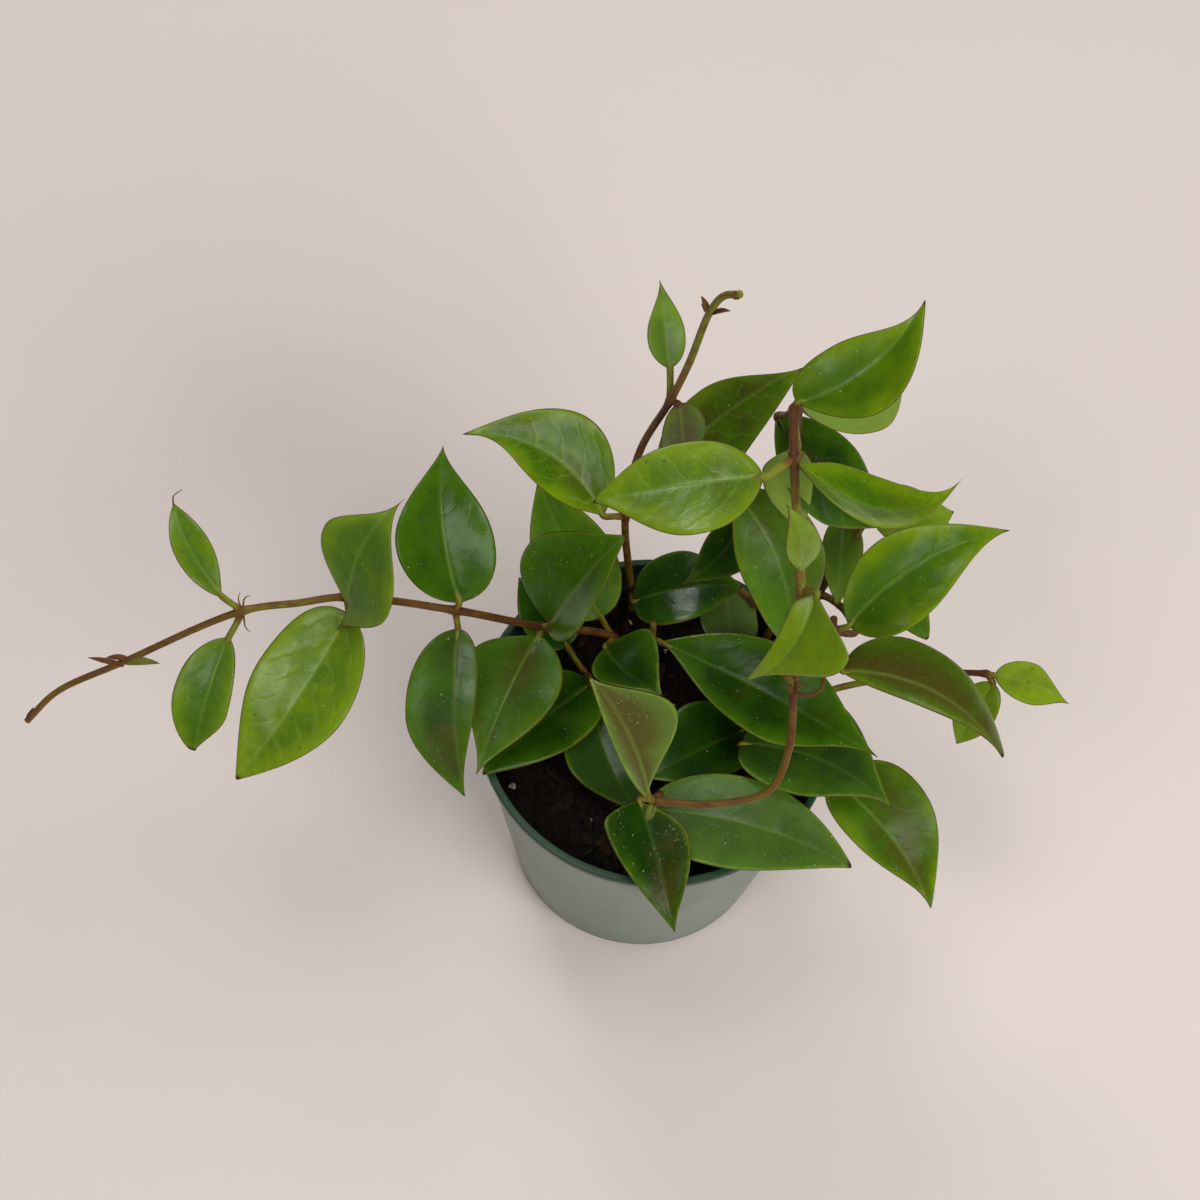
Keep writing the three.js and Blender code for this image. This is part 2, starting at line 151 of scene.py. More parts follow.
# %% Recipe
class Recipe:
    """A tree of shader nodes, with a short word for each step that the finishes share."""

    def __init__(self, tree):
        self.tree = tree

    def feed(self, socket, value):
        """Links another node's output to the socket, or sets the socket to a number or a colour."""
        if isinstance(value, bpy.types.NodeSocket):
            self.tree.links.new(value, socket)
        else:
            socket.default_value = value

    def put(self, kind, inputs=None, **settings):
        """Places a node, makes its settings and feeds its inputs."""
        node = self.tree.nodes.new("ShaderNode" + kind)
        for name, value in settings.items():
            setattr(node, name, value)
        for name, value in (inputs or {}).items():
            self.feed(node.inputs[name], value)
        return node

    def maths(self, operation, *values, clamp=False):
        return self.put("Math", dict(enumerate(values)), operation=operation, use_clamp=clamp).outputs[0]

    def times(self, first, *others):
        for other in others:
            first = self.maths("MULTIPLY", first, other)
        return first

    def times_plus(self, first, factor, more):
        return self.maths("MULTIPLY_ADD", first, factor, more)

    def ramp(self, value, low, high, to_low=0.0, to_high=1.0):
        """A soft step: a value below low gives to_low, and one above high gives to_high."""
        inputs = {"Value": value, "From Min": low, "From Max": high, "To Min": to_low, "To Max": to_high}
        return self.put("MapRange", inputs, interpolation_type="SMOOTHSTEP").outputs["Result"]

    def layers(self, ground, *coats):
        """The ground colour with coats laid over it in turn, each a mask and a colour."""
        for mask, colour in coats:
            ground = self.put("Mix", {0: mask, 6: ground, 7: colour}, data_type="RGBA").outputs[2]
        return ground

    def noise(self, place, scale, detail, roughness=0.5):
        inputs = {"Vector": place, "Scale": scale, "Detail": detail, "Roughness": roughness}
        return self.put("TexNoise", inputs).outputs["Fac"]

    def stretched(self, place, *scale):
        return self.put("Mapping", {"Vector": place, "Scale": scale}).outputs[0]

    def group(self, name, inputs):
        return self.put("Group", inputs, node_tree=bpy.data.node_groups[name]).outputs

    def patches(self, place, scale, low, high):
        """A soft cloudy mask. Values of the cloud between low and high make its soft edge."""
        inputs = {"Place": place, "Scale": scale, "Low": low, "High": high}
        return self.group("patchiness", inputs)["Mask"]

    def spots(self, place, scale, size, amount):
        """Scattered small spots, in a share of the cells given by the amount."""
        inputs = {"Place": place, "Scale": scale, "Size": size, "Amount": amount}
        return self.group("flecks", inputs)["Mask"]


def rgb(red, green, blue):
    """A colour as seen on a screen, 0 to 255, as the linear values that shaders use."""
    linear = [((c / 255 + 0.055) / 1.055) ** 2.4 if c > 10 else c / 255 / 12.92 for c in (red, green, blue)]
    return (*linear, 1)


print("a mid grey reads", round(rgb(128, 128, 128)[0], 3), "in linear light")

# %% [markdown]
# ## Effects that several finishes share
#
# Patchiness is a soft cloudy mask: leaf colour, bark, soil and the haze on the pot all use it, at
# different scales. Flecks are small scattered spots: the white specks on the leaves, the pores on
# the stems, the grit in the soil and the dried water spots on the pot. Each is built once as a node
# group with named inputs, and the finishes that use it give it their own values.

# %% Shared groups
class Group(Recipe):
    """A shared group of nodes. Its inputs are numbers with their usual values, or places."""

    def __init__(self, name, **inputs):
        super().__init__(bpy.data.node_groups.new(name, "ShaderNodeTree"))
        for label, value in inputs.items():
            kind = "NodeSocketVector" if value is None else "NodeSocketFloat"
            socket = self.tree.interface.new_socket(name=label, in_out="INPUT", socket_type=kind)
            if value is not None:
                socket.default_value = value
        self.given = self.tree.nodes.new("NodeGroupInput").outputs

    def give(self, **masks):
        """Names the masks that the group gives out."""
        for label in masks:
            self.tree.interface.new_socket(name=label, in_out="OUTPUT", socket_type="NodeSocketFloat")
        result = self.tree.nodes.new("NodeGroupOutput").inputs
        for label, mask in masks.items():
            self.feed(result[label], mask)
        print(f"group {self.tree.name} gives", list(masks))


PLACE = None

patchiness = Group("patchiness", Place=PLACE, Scale=1.0, Low=0.4, High=0.6)
cloud = patchiness.noise(patchiness.given["Place"], patchiness.given["Scale"], 3.0, 0.55)
patchiness.give(Mask=patchiness.ramp(cloud, patchiness.given["Low"], patchiness.given["High"]))

flecks = Group("flecks", Place=PLACE, Scale=1.0, Size=0.2, Amount=0.3)
cells = flecks.put("TexVoronoi", {"Vector": flecks.given["Place"], "Scale": flecks.given["Scale"]})
chance = flecks.put("SeparateColor", {"Color": cells.outputs["Color"]}).outputs
chosen = flecks.maths("GREATER_THAN", flecks.given["Amount"], chance[0])
own_size = flecks.times(flecks.given["Size"], flecks.times_plus(chance[1], 0.9, 0.35))
spot = flecks.ramp(cells.outputs["Distance"], flecks.times(own_size, 0.45), own_size, 1.0, 0.0)
flecks.give(Mask=flecks.times(spot, chosen))

# %% [markdown]
# A finish is a recipe that ends in a surface. The last step is the same for all of them: it feeds the
# colour, how rough the surface is, how strongly it mirrors, and its relief, which is a height with a
# strength from 0 to 1 and a depth in metres. Finishes lie either in the object's own space or along
# marks that the mesh carries on its points.

# %% Finish
class Finish(Recipe):
    """A material whose recipe ends in its Principled shader."""

    def __init__(self, name):
        self.material = bpy.data.materials.new(name)
        self.material.use_nodes = True
        super().__init__(self.material.node_tree)

    def where(self):
        return self.put("TexCoord").outputs["Object"]

    def mark(self, name, output="Fac"):
        return self.put("Attribute", attribute_name=name).outputs[output]

    def surface(self, colour, roughness, height, strength, depth, mirroring=0.5):
        bump = self.put("Bump", {"Height": height, "Strength": strength, "Distance": depth})
        shader = self.tree.nodes["Principled BSDF"].inputs
        self.feed(shader["Base Color"], colour)
        self.feed(shader["Roughness"], roughness)
        self.feed(shader["Specular IOR Level"], mirroring)
        self.feed(shader["Normal"], bump.outputs["Normal"])
        print(f"finish {self.material.name}: {len(self.tree.nodes)} nodes")


print("shared groups:", [g.name for g in bpy.data.node_groups])

# %% [markdown]
# ## The floor
#
# A plain pale warm surface under the pot. It isn't part of the object. Its finish has only a whisper
# of unevenness, so that the shadow has something to lie on.

# %% Floor
HALF_FLOOR = 3.0
FLOOR_DROP = 0.0002

floor_finish = Finish("pale_floor")
where = floor_finish.where()
colour = floor_finish.layers(
    rgb(226, 215, 208),
    (floor_finish.patches(where, 3.0, 0.25, 0.75), rgb(229, 217, 213)))
floor_finish.surface(colour, 0.85, floor_finish.noise(where, 90.0, 4.0), strength=0.12, depth=0.002)

floor_mesh = bpy.data.meshes.new("floor")
corners = [(x * HALF_FLOOR, y * HALF_FLOOR, 0) for x, y in ((-1, -1), (1, -1), (1, 1), (-1, 1))]
floor_mesh.from_pydata(corners, [], [(0, 1, 2, 3)])
floor_mesh.materials.append(floor_finish.material)
floor = bpy.data.objects.new("floor", floor_mesh)
floor.location.z = -FLOOR_DROP
bpy.context.scene.collection.objects.link(floor)
print("floor is", 2 * HALF_FLOOR, "m square")

# %% [markdown]
# ## Wrapped bodies
#
# The pot, the bed of soil, the stems and the leaves are all rings of points, one after another, that
# are wrapped in faces and closed at both ends. So one function makes the faces for all of them.

# %% Wrapped and turned bodies
def wrap(rows, sides):
    """Faces of a closed body: its points are rings, row by row, and then the middle of each end."""
    last, middles = (rows - 1) * sides, rows * sides
    pairs = [(k, (k + 1) % sides) for k in range(sides)]
    faces = [(i + a, i + b, i + b + sides, i + a + sides) for i in range(0, last, sides) for a, b in pairs]
    for a, b in pairs:
        faces += [(middles, b, a), (middles + 1, last + a, last + b)]
    return faces


def circle(sides):
    """Evenly spaced angles round a full turn."""
    return 2 * math.pi * np.arange(sides) / sides


def lathe(profile, sides):
    """Points and faces of a closed turned body. The profile starts and ends on the axis."""
    x, y = np.cos(circle(sides)), np.sin(circle(sides))
    rings = [np.stack([radius * x, radius * y, np.full(sides, height)], -1)
             for radius, height in profile[1:-1]]
    middles = [(0, 0, profile[0][1]), (0, 0, profile[-1][1])]
    return np.vstack([*rings, middles]), wrap(len(rings), sides)


print("two rings of six points wrap in", len(wrap(2, 6)), "faces")

# %% [markdown]
# ## Making one piece from many bodies
#
# A vine has up to a dozen leaves, and the soil has hundreds of bark chips. Each is a small closed body.
# A bundle gathers such bodies, keeps named marks on their points, such as how far along the leaf a
# point lies, and makes one mesh of them. The finishes read those marks, so the pattern on every leaf
# follows that leaf's own midrib and margin.

# %% Bundle
class Bundle:
    """Gathers closed bodies, in millimetres, and the marks on their points."""

    def __init__(self):
        self.points, self.faces, self.skins, self.marks = [], [], [], {}

    def add(self, points, faces, skins=None, **marks):
        start = sum(len(p) for p in self.points)
        self.points.append(np.asarray(points, float))
        self.faces += [tuple(start + i for i in face) for face in faces]
        self.skins += skins or [0] * len(faces)
        for name, values in marks.items():
            self.marks.setdefault(name, []).append(np.asarray(values, float))

    def mesh(self, name):
        mesh = bpy.data.meshes.new(name)
        mesh.from_pydata(np.concatenate(self.points) * MM, [], self.faces)
        return mesh

    def piece(self, name, finishes, slot, stands_for, smooth=True):
        mesh = self.mesh(name)
        mesh.polygons.foreach_set("material_index", self.skins)
        mesh.polygons.foreach_set("use_smooth", [smooth] * len(self.faces))
        for mark, values in self.marks.items():
            flat = np.concatenate(values)
            kind, field = ("FLOAT_VECTOR", "vector") if flat.ndim == 2 else ("FLOAT", "value")
            attribute = mesh.attributes.new(mark, kind, "POINT")
            attribute.data.foreach_set(field, flat.astype(np.float32).ravel())
        for finish in finishes:
            mesh.materials.append(finish.material)
        mesh.update()
        made = bpy.data.objects.new(name, mesh)
        bpy.context.scene.collection.objects.link(made)
        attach(made, "root")
        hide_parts(*stands_for)
        triangles = sum(len(f) - 2 for f in self.faces)
        print(f"{name}: {len(self.points)} bodies, {triangles} triangles")
        return made


disc = Bundle()
disc.add(*lathe([(0, 0), (1, 0), (1, 1), (0, 1)], 8))
print("a bundle with one turned disc of eight sides has", len(disc.faces), "faces")

# %% [markdown]
# ## The pot
#
# A thin round pot of dark green plastic, moulded in one shot: a tapered wall, a small rolled lip, a
# flat base with eight drain holes. A turned profile gives it its true roundness; the holes are then
# cut through the base with a Boolean, which is applied at once so that the mesh is final. The
# profile has short extra steps beside each edge, which keep the shading crisp there.

# %% Pot shape
POT_HEIGHT, POT_RIM_RADIUS, POT_FOOT_RADIUS = 85, 51, 40
POT_WALL, POT_LIP, POT_LIP_HEIGHT, POT_FLOOR = 1.5, 0.7, 2.6, 2.2
FOOT_BEND, LIP_BEND, FLOOR_BEND = 1.2, 0.9, 1.2
POT_SIDES, BEND_POINTS = 160, 5
WIDENING = (POT_RIM_RADIUS - POT_LIP - POT_FOOT_RADIUS) / POT_HEIGHT


def outside(z):
    return POT_FOOT_RADIUS + WIDENING * z


def inside(z):
    return outside(z) - POT_WALL


def rounded(start, corner, end):
    """Points of a smooth bend from start to end that leans towards the corner."""
    return [tuple((1 - t) ** 2 * a + 2 * t * (1 - t) * b + t * t * c for a, b, c in zip(start, corner, end))
            for t in np.linspace(0, 1, BEND_POINTS)]


lip_foot = POT_HEIGHT - POT_LIP_HEIGHT
pot_profile = [
    # The underside and its bend into the wall
    (0, 0),
    (POT_FOOT_RADIUS - 2.4, 0),
    *rounded((POT_FOOT_RADIUS - 1.6, 0), (outside(0) - 0.2, 0), (outside(FOOT_BEND), FOOT_BEND)),
    # The outer wall, and out and up round the lip
    *[(outside(z), z) for z in np.linspace(2, lip_foot - 0.6, 12)],
    *rounded((outside(lip_foot) + 0.05, lip_foot - 0.15), (POT_RIM_RADIUS - 0.1, lip_foot),
             (POT_RIM_RADIUS, lip_foot + 0.5)),
    *rounded((POT_RIM_RADIUS, POT_HEIGHT - LIP_BEND), (POT_RIM_RADIUS, POT_HEIGHT),
             (POT_RIM_RADIUS - 0.8, POT_HEIGHT)),
    # Down the inner wall to the floor
    *rounded((inside(POT_HEIGHT) + 0.5, POT_HEIGHT), (inside(POT_HEIGHT), POT_HEIGHT),
             (inside(POT_HEIGHT - 0.6), POT_HEIGHT - 0.6)),
    *[(inside(z), z) for z in np.linspace(POT_HEIGHT - 2, POT_FLOOR + 2, 8)],
    *rounded((inside(POT_FLOOR + FLOOR_BEND), POT_FLOOR + FLOOR_BEND), (inside(POT_FLOOR), POT_FLOOR),
             (inside(POT_FLOOR) - 1.5, POT_FLOOR)),
    (0, POT_FLOOR),
]
print("pot profile has", len(pot_profile), "points; rim", 2 * POT_RIM_RADIUS, "mm across")

# %% [markdown]
# The plastic itself is a dark bottle green. Handling and dried water have left a pale haze on the
# outer wall, in soft upright streaks, which stops at the lip and just above the foot, where the dark
# plastic shows as a ring; the dark band at the lip is also painted shade under its roll. The top of
# the lip is painted a little lighter, a painted highlight where the light falls on it.

# %% Pot finish
DARK_PLASTIC = rgb(36, 62, 46)
HAZY_PLASTIC = rgb(142, 153, 141)
# Painted highlight: the lit top of the lip.
LIP_TOP_HIGHLIGHT = rgb(50, 76, 54)
DRIED_WATER = rgb(190, 196, 188)

plastic = Finish("nursery_pot_plastic")
where = plastic.where()
axis = plastic.put("SeparateXYZ", {"Vector": where}).outputs
height = plastic.maths("DIVIDE", axis["Z"], MM)
level = plastic.put("CombineXYZ", {"X": axis["X"], "Y": axis["Y"]}).outputs[0]
radius = plastic.put("VectorMath", {0: level}, operation="LENGTH").outputs["Value"]
wall_middle = plastic.times_plus(height, WIDENING, POT_FOOT_RADIUS - 0.5)
outer = plastic.maths("GREATER_THAN", plastic.maths("DIVIDE", radius, MM), wall_middle)
# Keeping the haze off the lip leaves it dark, which is partly painted shade under its roll.
below_lip = plastic.ramp(height, lip_foot - 1.2, lip_foot - 0.2, 1.0, 0.0)
above_foot = plastic.ramp(height, 0.6, 2.6)
hazy = plastic.times(outer, below_lip, above_foot)
streaks = plastic.patches(plastic.stretched(where, 1, 1, 0.06), 150.0, 0.25, 0.8)
broad = plastic.patches(where, 28.0, 0.2, 0.8)
haze_depth = plastic.times_plus(streaks, 0.22, plastic.times_plus(broad, 0.2, 0.55))
# Painted highlight along the top of the lip, where the light falls on it.
lip_top = plastic.ramp(height, POT_HEIGHT - 0.5, POT_HEIGHT - 0.05)
water_spots = plastic.spots(where, 260.0, 0.22, 0.05)
colour = plastic.layers(
    DARK_PLASTIC,
    (plastic.times(hazy, haze_depth), HAZY_PLASTIC),
    (plastic.times(lip_top, 0.55), LIP_TOP_HIGHLIGHT),
    (plastic.times(water_spots, hazy, 0.3), DRIED_WATER))
mould_grain = plastic.times(plastic.noise(where, 900.0, 2.0), 0.3)
plastic.surface(
    colour, plastic.times_plus(streaks, 0.12, plastic.times_plus(hazy, 0.1, 0.33)),
    plastic.times_plus(streaks, 0.4, mould_grain), strength=0.25, depth=0.0002)

# %% Pot piece
DRAIN_HOLES, DRAIN_HOLE_RADIUS, DRAIN_RING_RADIUS = 8, 4, 29
DRILL_SIDES, DRILL_PAST = 32, 1

pot_bundle = Bundle()
pot_bundle.add(*lathe(pot_profile, POT_SIDES))
pot = pot_bundle.piece("pot_shell", [plastic], "pot_plastic", ["pot"])

drill_profile = [(0, -DRILL_PAST), (DRAIN_HOLE_RADIUS, -DRILL_PAST),
                 (DRAIN_HOLE_RADIUS, POT_FLOOR + DRILL_PAST), (0, POT_FLOOR + DRILL_PAST)]
drill_points, drill_faces = lathe(drill_profile, DRILL_SIDES)
drills = Bundle()
for angle in circle(DRAIN_HOLES) + math.pi / DRAIN_HOLES:
    middle = (DRAIN_RING_RADIUS * math.cos(angle), DRAIN_RING_RADIUS * math.sin(angle), 0)
    drills.add(drill_points + middle, drill_faces)
drill_set = bpy.data.objects.new("drills", drills.mesh("drills"))
bpy.context.scene.collection.objects.link(drill_set)
cut = pot.modifiers.new("drain_holes", "BOOLEAN")
cut.object, cut.operation, cut.solver = drill_set, "DIFFERENCE", "EXACT"
bpy.context.view_layer.update()
cut_mesh = bpy.data.meshes.new_from_object(pot.evaluated_get(bpy.context.evaluated_depsgraph_get()))
pot.modifiers.clear()
pot.data = cut_mesh
bpy.data.objects.remove(drill_set)
for face in cut_mesh.polygons:
    face.use_smooth = abs(face.normal.z) < 0.999
print("pot mesh after drilling:", len(cut_mesh.polygons), "faces")

# %% [markdown]
# ## The soil
#
# An open, dark mix: composted loam with flat chips of bark, some finer crumbs and a few white grains
# of perlite. The bed is a turned body whose top is made uneven with layered noise. Chips and crumbs
# are small hulls around random points, flattened as bark splits, and laid on the bed, partly sunk in.
# Sculpting each chip would take days; hulls of a dozen points have the same broken facets.

# %% Soil bed
SOIL_TOP, GAP = 73, 0.4
SOIL_SIDES, SOIL_RINGS = 120, 40
RIM_DROP = 0.5


def soil_height(x, y):
    """The top of the bed at a place, with slow swells and small crumbs."""
    slow = 0.8 * math.sin(0.31 * x + 1) * math.cos(0.27 * y)
    crumbs = 0.7 * noise.noise((x * 0.22, y * 0.22, 4.0)) + 0.4 * noise.noise((x * 0.6, y * 0.6, 9.0))
    return SOIL_TOP + slow + crumbs - 0.5


bed_bottom = POT_FLOOR + GAP
bed_rim = inside(SOIL_TOP) - 1.2
bed_profile = [
    (0, bed_bottom),
    (inside(bed_bottom) - 1.4, bed_bottom),
    (inside(bed_bottom + 1) - GAP, bed_bottom + 1),
    *[(inside(z) - GAP, z) for z in np.linspace(12, SOIL_TOP - 1.5, 6)],
    *[(radius, SOIL_TOP) for radius in np.linspace(bed_rim, 1.0, SOIL_RINGS)],
    (0, SOIL_TOP),
]
bed_points, bed_faces = lathe(bed_profile, SOIL_SIDES)
for point in bed_points:
    if point[2] == SOIL_TOP:
        at_rim = math.hypot(point[0], point[1]) > bed_rim - 0.1
        point[2] = soil_height(point[0], point[1]) - (RIM_DROP if at_rim else 0)
print("soil bed is", round(2 * bed_rim), "mm across at the top")

# %% Broken bits
dice = np.random.default_rng(11)


def broken_bit(size, points=12):
    """A small closed hull with flat facets, as broken bark or stone has, lying flat round its middle."""
    spread = dice.normal(size=(points, 3))
    spread /= np.linalg.norm(spread, axis=1)[:, None]
    spread *= np.array(size) / 2 * dice.uniform(0.75, 1.0, (points, 1))
    hull = bmesh.new()
    for p in spread:
        hull.verts.new(p)
    made = bmesh.ops.convex_hull(hull, input=hull.verts)
    bmesh.ops.delete(hull, geom=[g for g in made["geom_interior"] if g.is_valid], context="VERTS")
    bmesh.ops.recalc_face_normals(hull, faces=hull.faces)
    hull.verts.index_update()
    corners = np.array([v.co for v in hull.verts])
    faces = [tuple(v.index for v in f.verts) for f in hull.faces]
    hull.free()
    return corners, faces


def lay(bundle, size, sunk, tone, reach):
    """Lays a bit at a random place on the bed, turned and tipped a little."""
    corners, faces = broken_bit(size)
    turn, tip = dice.uniform(0, 2 * math.pi), dice.normal(0, 0.25)
    far, round_ = reach * math.sqrt(dice.uniform(0, 1)), dice.uniform(0, 2 * math.pi)
    x, y = far * math.cos(round_), far * math.sin(round_)
    spin = np.array(Matrix.Rotation(turn, 3, "Z") @ Matrix.Rotation(tip, 3, "X"))
    place = np.array([x, y, soil_height(x, y) + size[2] * (0.5 - sunk)])
    bundle.add(corners @ spin.T + place, faces, bit_tone=np.full(len(corners), tone))


# %% Chips, crumbs and grains
CHIPS, CRUMBS, GRAINS = 210, 620, 16
CHIP_REACH, CRUMB_REACH, GRAIN_REACH = 42.5, 45.0, 43.0
BED_TONE = 0.15
SEEN_GRAIN, SEEN_GRAIN_SIZE, SEEN_GRAIN_LIFT = (-38.5, -21.0), (3.0, 2.4, 2.2), 0.9

soil_bundle = Bundle()
soil_bundle.add(bed_points, bed_faces, bit_tone=np.full(len(bed_points), BED_TONE))
for _ in range(CHIPS):
    long_side = dice.uniform(4, 10)
    size = (long_side, long_side * dice.uniform(0.4, 0.7), dice.uniform(1.2, 2.6))
    lay(soil_bundle, size, sunk=0.35, tone=dice.uniform(0.2, 1.0), reach=CHIP_REACH)
for _ in range(CRUMBS):
    size = tuple(dice.uniform(0.9, 2.4, 3))
    lay(soil_bundle, size, sunk=0.3, tone=dice.uniform(0, 0.8), reach=CRUMB_REACH)

perlite_bundle = Bundle()
for _ in range(GRAINS):
    size = tuple(dice.uniform(1.2, 2.6, 3))
    lay(perlite_bundle, size, sunk=0.15, tone=1.0, reach=GRAIN_REACH)
corners, faces = broken_bit(SEEN_GRAIN_SIZE, 16)
grain_place = np.array([*SEEN_GRAIN, soil_height(*SEEN_GRAIN) + SEEN_GRAIN_LIFT])
perlite_bundle.add(corners + grain_place, faces, bit_tone=np.ones(len(corners)))
print(len(soil_bundle.points) - 1, "bits of bark and", len(perlite_bundle.points), "grains of perlite")

# %% [markdown]
# The bark is painted nearly black with a brown cast: dark bark, darkened further as painted shade
# under the leaves. The flat sides of a chip show fibres. The mark each bit carries says how brown it
# is. Perlite is a soft, chalky white that has picked up some soil.

# %% Soil finishes
bark_mix = Finish("bark_mix")
where = bark_mix.where()
grain = bark_mix.patches(bark_mix.stretched(where, 1, 0.25, 1.6), 1400.0, 0.3, 0.75)
lumps = bark_mix.patches(where, 260.0, 0.35, 0.7)
# Painted shade: all bark colours are darker than the bark itself, for the shade under the leaves.
colour = bark_mix.layers(
    rgb(14, 10, 8),
    (bark_mix.mark("bit_tone"), rgb(52, 35, 24)),
    (bark_mix.times(grain, 0.5), rgb(28, 19, 13)),
    (bark_mix.times(lumps, 0.45), rgb(10, 7, 6)),
    (bark_mix.spots(where, 900.0, 0.2, 0.05), rgb(120, 100, 78)))
bark_mix.surface(
    colour, bark_mix.ramp(grain, 0.0, 1.0, 0.72, 0.95), bark_mix.maths("ADD", grain, lumps),
    strength=0.6, depth=0.0006, mirroring=0.35)

perlite = Finish("perlite")
where = perlite.where()
colour = perlite.layers(rgb(206, 202, 188), (perlite.patches(where, 420.0, 0.35, 0.7), rgb(120, 106, 88)))
pits = perlite.put("TexVoronoi", {"Vector": where, "Scale": 1500.0}).outputs["Distance"]
perlite.surface(colour, 0.9, pits, strength=0.5, depth=0.0003)

soil_bundle.piece("soil_mix", [bark_mix], "soil", ["soil"], smooth=False)
perlite_bundle.piece("perlite_grains", [perlite], "soil", ["soil"], smooth=False)

# %% [markdown]
# ## The vines, as a table
#
# Nine vines grow from the pot, and each has a cell below. It gives the stem as points from inside the
# soil to its end, how woody it is at each point (0 is soft green, 1 is red-brown bark), and its
# leaves. The points and leaf shapes are those of the imported model, so that every leaf here lies where
# the model's leaf lies.
#
# The first line of a leaf is its form: the joint it grows from, counted from the foot of the stem, its
# base and tip, its width, roll, arch and fold, how far along it is widest, its sideways bow, and its
# taper. Where the two halves of a blade differ, widest, taper and foot are pairs, the left half's
# value first. The second line starts with its looks: age from 0, fresh and yellow-green, to 1, deep
# green, raised further on the lowest, inner leaves as painted shade; how much brown blush it has; how
# many white flecks; how light its margin is; and how hazy it is, a grey haze that on the palest leaves
# is a painted sheen. The rarer values follow by name: among them how much its veins show, and how
# brown and how thick its stalk is. Scales are the small bracts at a joint, dry ones brown. Bits are the
# rootlets, dried tendrils and knobs, each a thin rod.

# %% Rows of the table
Leaf = namedtuple("Leaf", "node base tip width roll arch fold widest bow taper "
                          "age blush flecks rim haze lean lobe foot veins stalk stalk_thick",
                  defaults=(0, 0, 1, 0.1, 0.35, 1))
Scale = namedtuple("Scale", "base tip width arch dry")
Bit = namedtuple("Bit", "through radii bark")

Vine = namedtuple("Vine", "radii path bark leaves scales bits")

VINES = {}


def add_vine(name, radii, path, bark, leaves, scales=(), bits=()):
    """Adds a vine with its radius at the foot and the end, and all that it bears."""
    VINES[name] = Vine(radii, path, bark, leaves, scales, bits)
    print(f"{name}: {len(leaves)} leaves, {len(scales)} bracts, {len(bits)} small rods")


print("a leaf row has", len(Leaf._fields), "values, of which six can be left out")

# %% Left vine, which trails over the edge
add_vine(
    "vine_left", radii=(1.2, 0.9),
    path=[(-8, 24, 64), (-14, 26, 80), (-34.5, 18, 98), (-58, 12, 115), (-87, 9.4, 122),
          (-100, 7, 120.5), (-115, 4.3, 118), (-148, -8, 104), (-166, -15, 96), (-173.9, -21.9, 90.1)],
    bark=[0.6, 0.6, 0.9, 0.65, 0.6, 0.3, 0.4, 0.75, 0.4, 0.6],
    leaves=[
        Leaf(1, (-18, 29, 86), (-40, 61, 106), 25, 0, 0.05, 15, 0.4, -0.03, 1,
             0.45, 0.1, 0.2, 0.2, 0.1),
        Leaf(1, (-16, 18.5, 88.5), (1, -3.5, 105), 22, 0, 0.06, 20, (0.34, 0.49), 0.09, (1.2, 1.9),
             0.75, 0.1, 0.3, 0.8, 0, lean=-0.23, foot=(1.8, 2.8), veins=0),
        Leaf(2, (-32, 17, 102), (-13, 30, 134), 30, 0, 0.06, 25, 0.36, 0, 1.15,
             0.5, 0, 0.4, 0.3, 0, lean=-0.26, lobe=0.14),
        Leaf(2, (-35, 15.5, 98), (-48.5, -26, 90.5), 28.5, 0, 0.06, 20, (0.37, 0.33), 0.02, (1.35, 1.75),
             0.55, 0.5, 0.5, 0.2, 0.1, foot=(1.7, 2.5)),
        Leaf(3, (-57, 13, 118), (-66.5, 58, 126), 27.5, 0, 0.04, 15, 0.34, -0.055, 1.45,
             0.6, 0, 0.3, 0.1, 0),
        Leaf(3, (-57, 8.5, 111), (-51, -30, 84), 20.5, 0, 0.06, 20, (0.27, 0.48), 0.04, (1.75, 1.05),
             0.72, 0.3, 0.2, 0.1, 0.1, lean=0.35, foot=(1.15, 1)),
        Leaf(4, (-86, 6, 122.5), (-72, 25.5, 150), 28.5, 0, 0.08, 15, (0.5, 0.32), -0.08, (3, 2),
             0.35, 0.3, 0.5, 0.1, 0.2, lean=0.15, lobe=0.6, foot=(2.7, 3.7), stalk=0.6),
        Leaf(4, (-86.5, 6.5, 118), (-113.5, -34.5, 92), 30, 0, 0.03, 12, 0.42, -0.045, 1,
             0.16, 0, 0.1, 0.1, 0.1, veins=0.5),
        Leaf(6, (-120.5, 6.5, 121), (-139, 34.5, 120), 10.5, 0, 0.06, 18, (0.42, 0.47), -0.06, (0.85, 0.95),
             0.42, 0.3, 0.1, 0.1, 0.1, lean=0.1, foot=(1.4, 2.6), stalk=0.1),
        Leaf(6, (-118.5, -1.5, 112.5), (-125.5, -28, 94), 16.5, 0, 0.06, 14, (0.6, 0.5), 0.01, (1.4, 0.5),
             0.35, 0.2, 0.2, 0.2, 0.1, lean=0.15, foot=1.35, stalk=0.1),
    ],
    scales=[Scale((-147, -8, 104.5), (-137, -8, 106), 2.6, 0.1, 0.3),
            Scale((-147, -9, 104.5), (-157, -8, 105.5), 1.7, 0.05, 1),
            Scale((-146, -7, 105), (-152, -7.5, 105.5), 1.8, 0.1, 1)],
    bits=[Bit([(-172, -19, 92), (-173, -20.6, 91.2), (-173.2, -21.2, 90.6)], (0.8, 1.1), 0.9),
          Bit([(-115, 5.5, 118.5), (-114.8, 7.5, 119.3), (-113.6, 8.6, 119.2)], (0.3, 0.1), 0.4),
          Bit([(-115.5, 5, 119), (-116.4, 7, 119.6), (-116.2, 8.8, 120)], (0.25, 0.1), 0.4),
          Bit([(-114.5, 3, 117.3), (-113.8, 0.5, 116), (-112.4, -0.6, 115.4)], (0.3, 0.1), 0.4),
          Bit([(-139, 34.2, 120), (-139.2, 36.2, 121), (-137, 38, 122)], (0.3, 0.12), 0.3)])

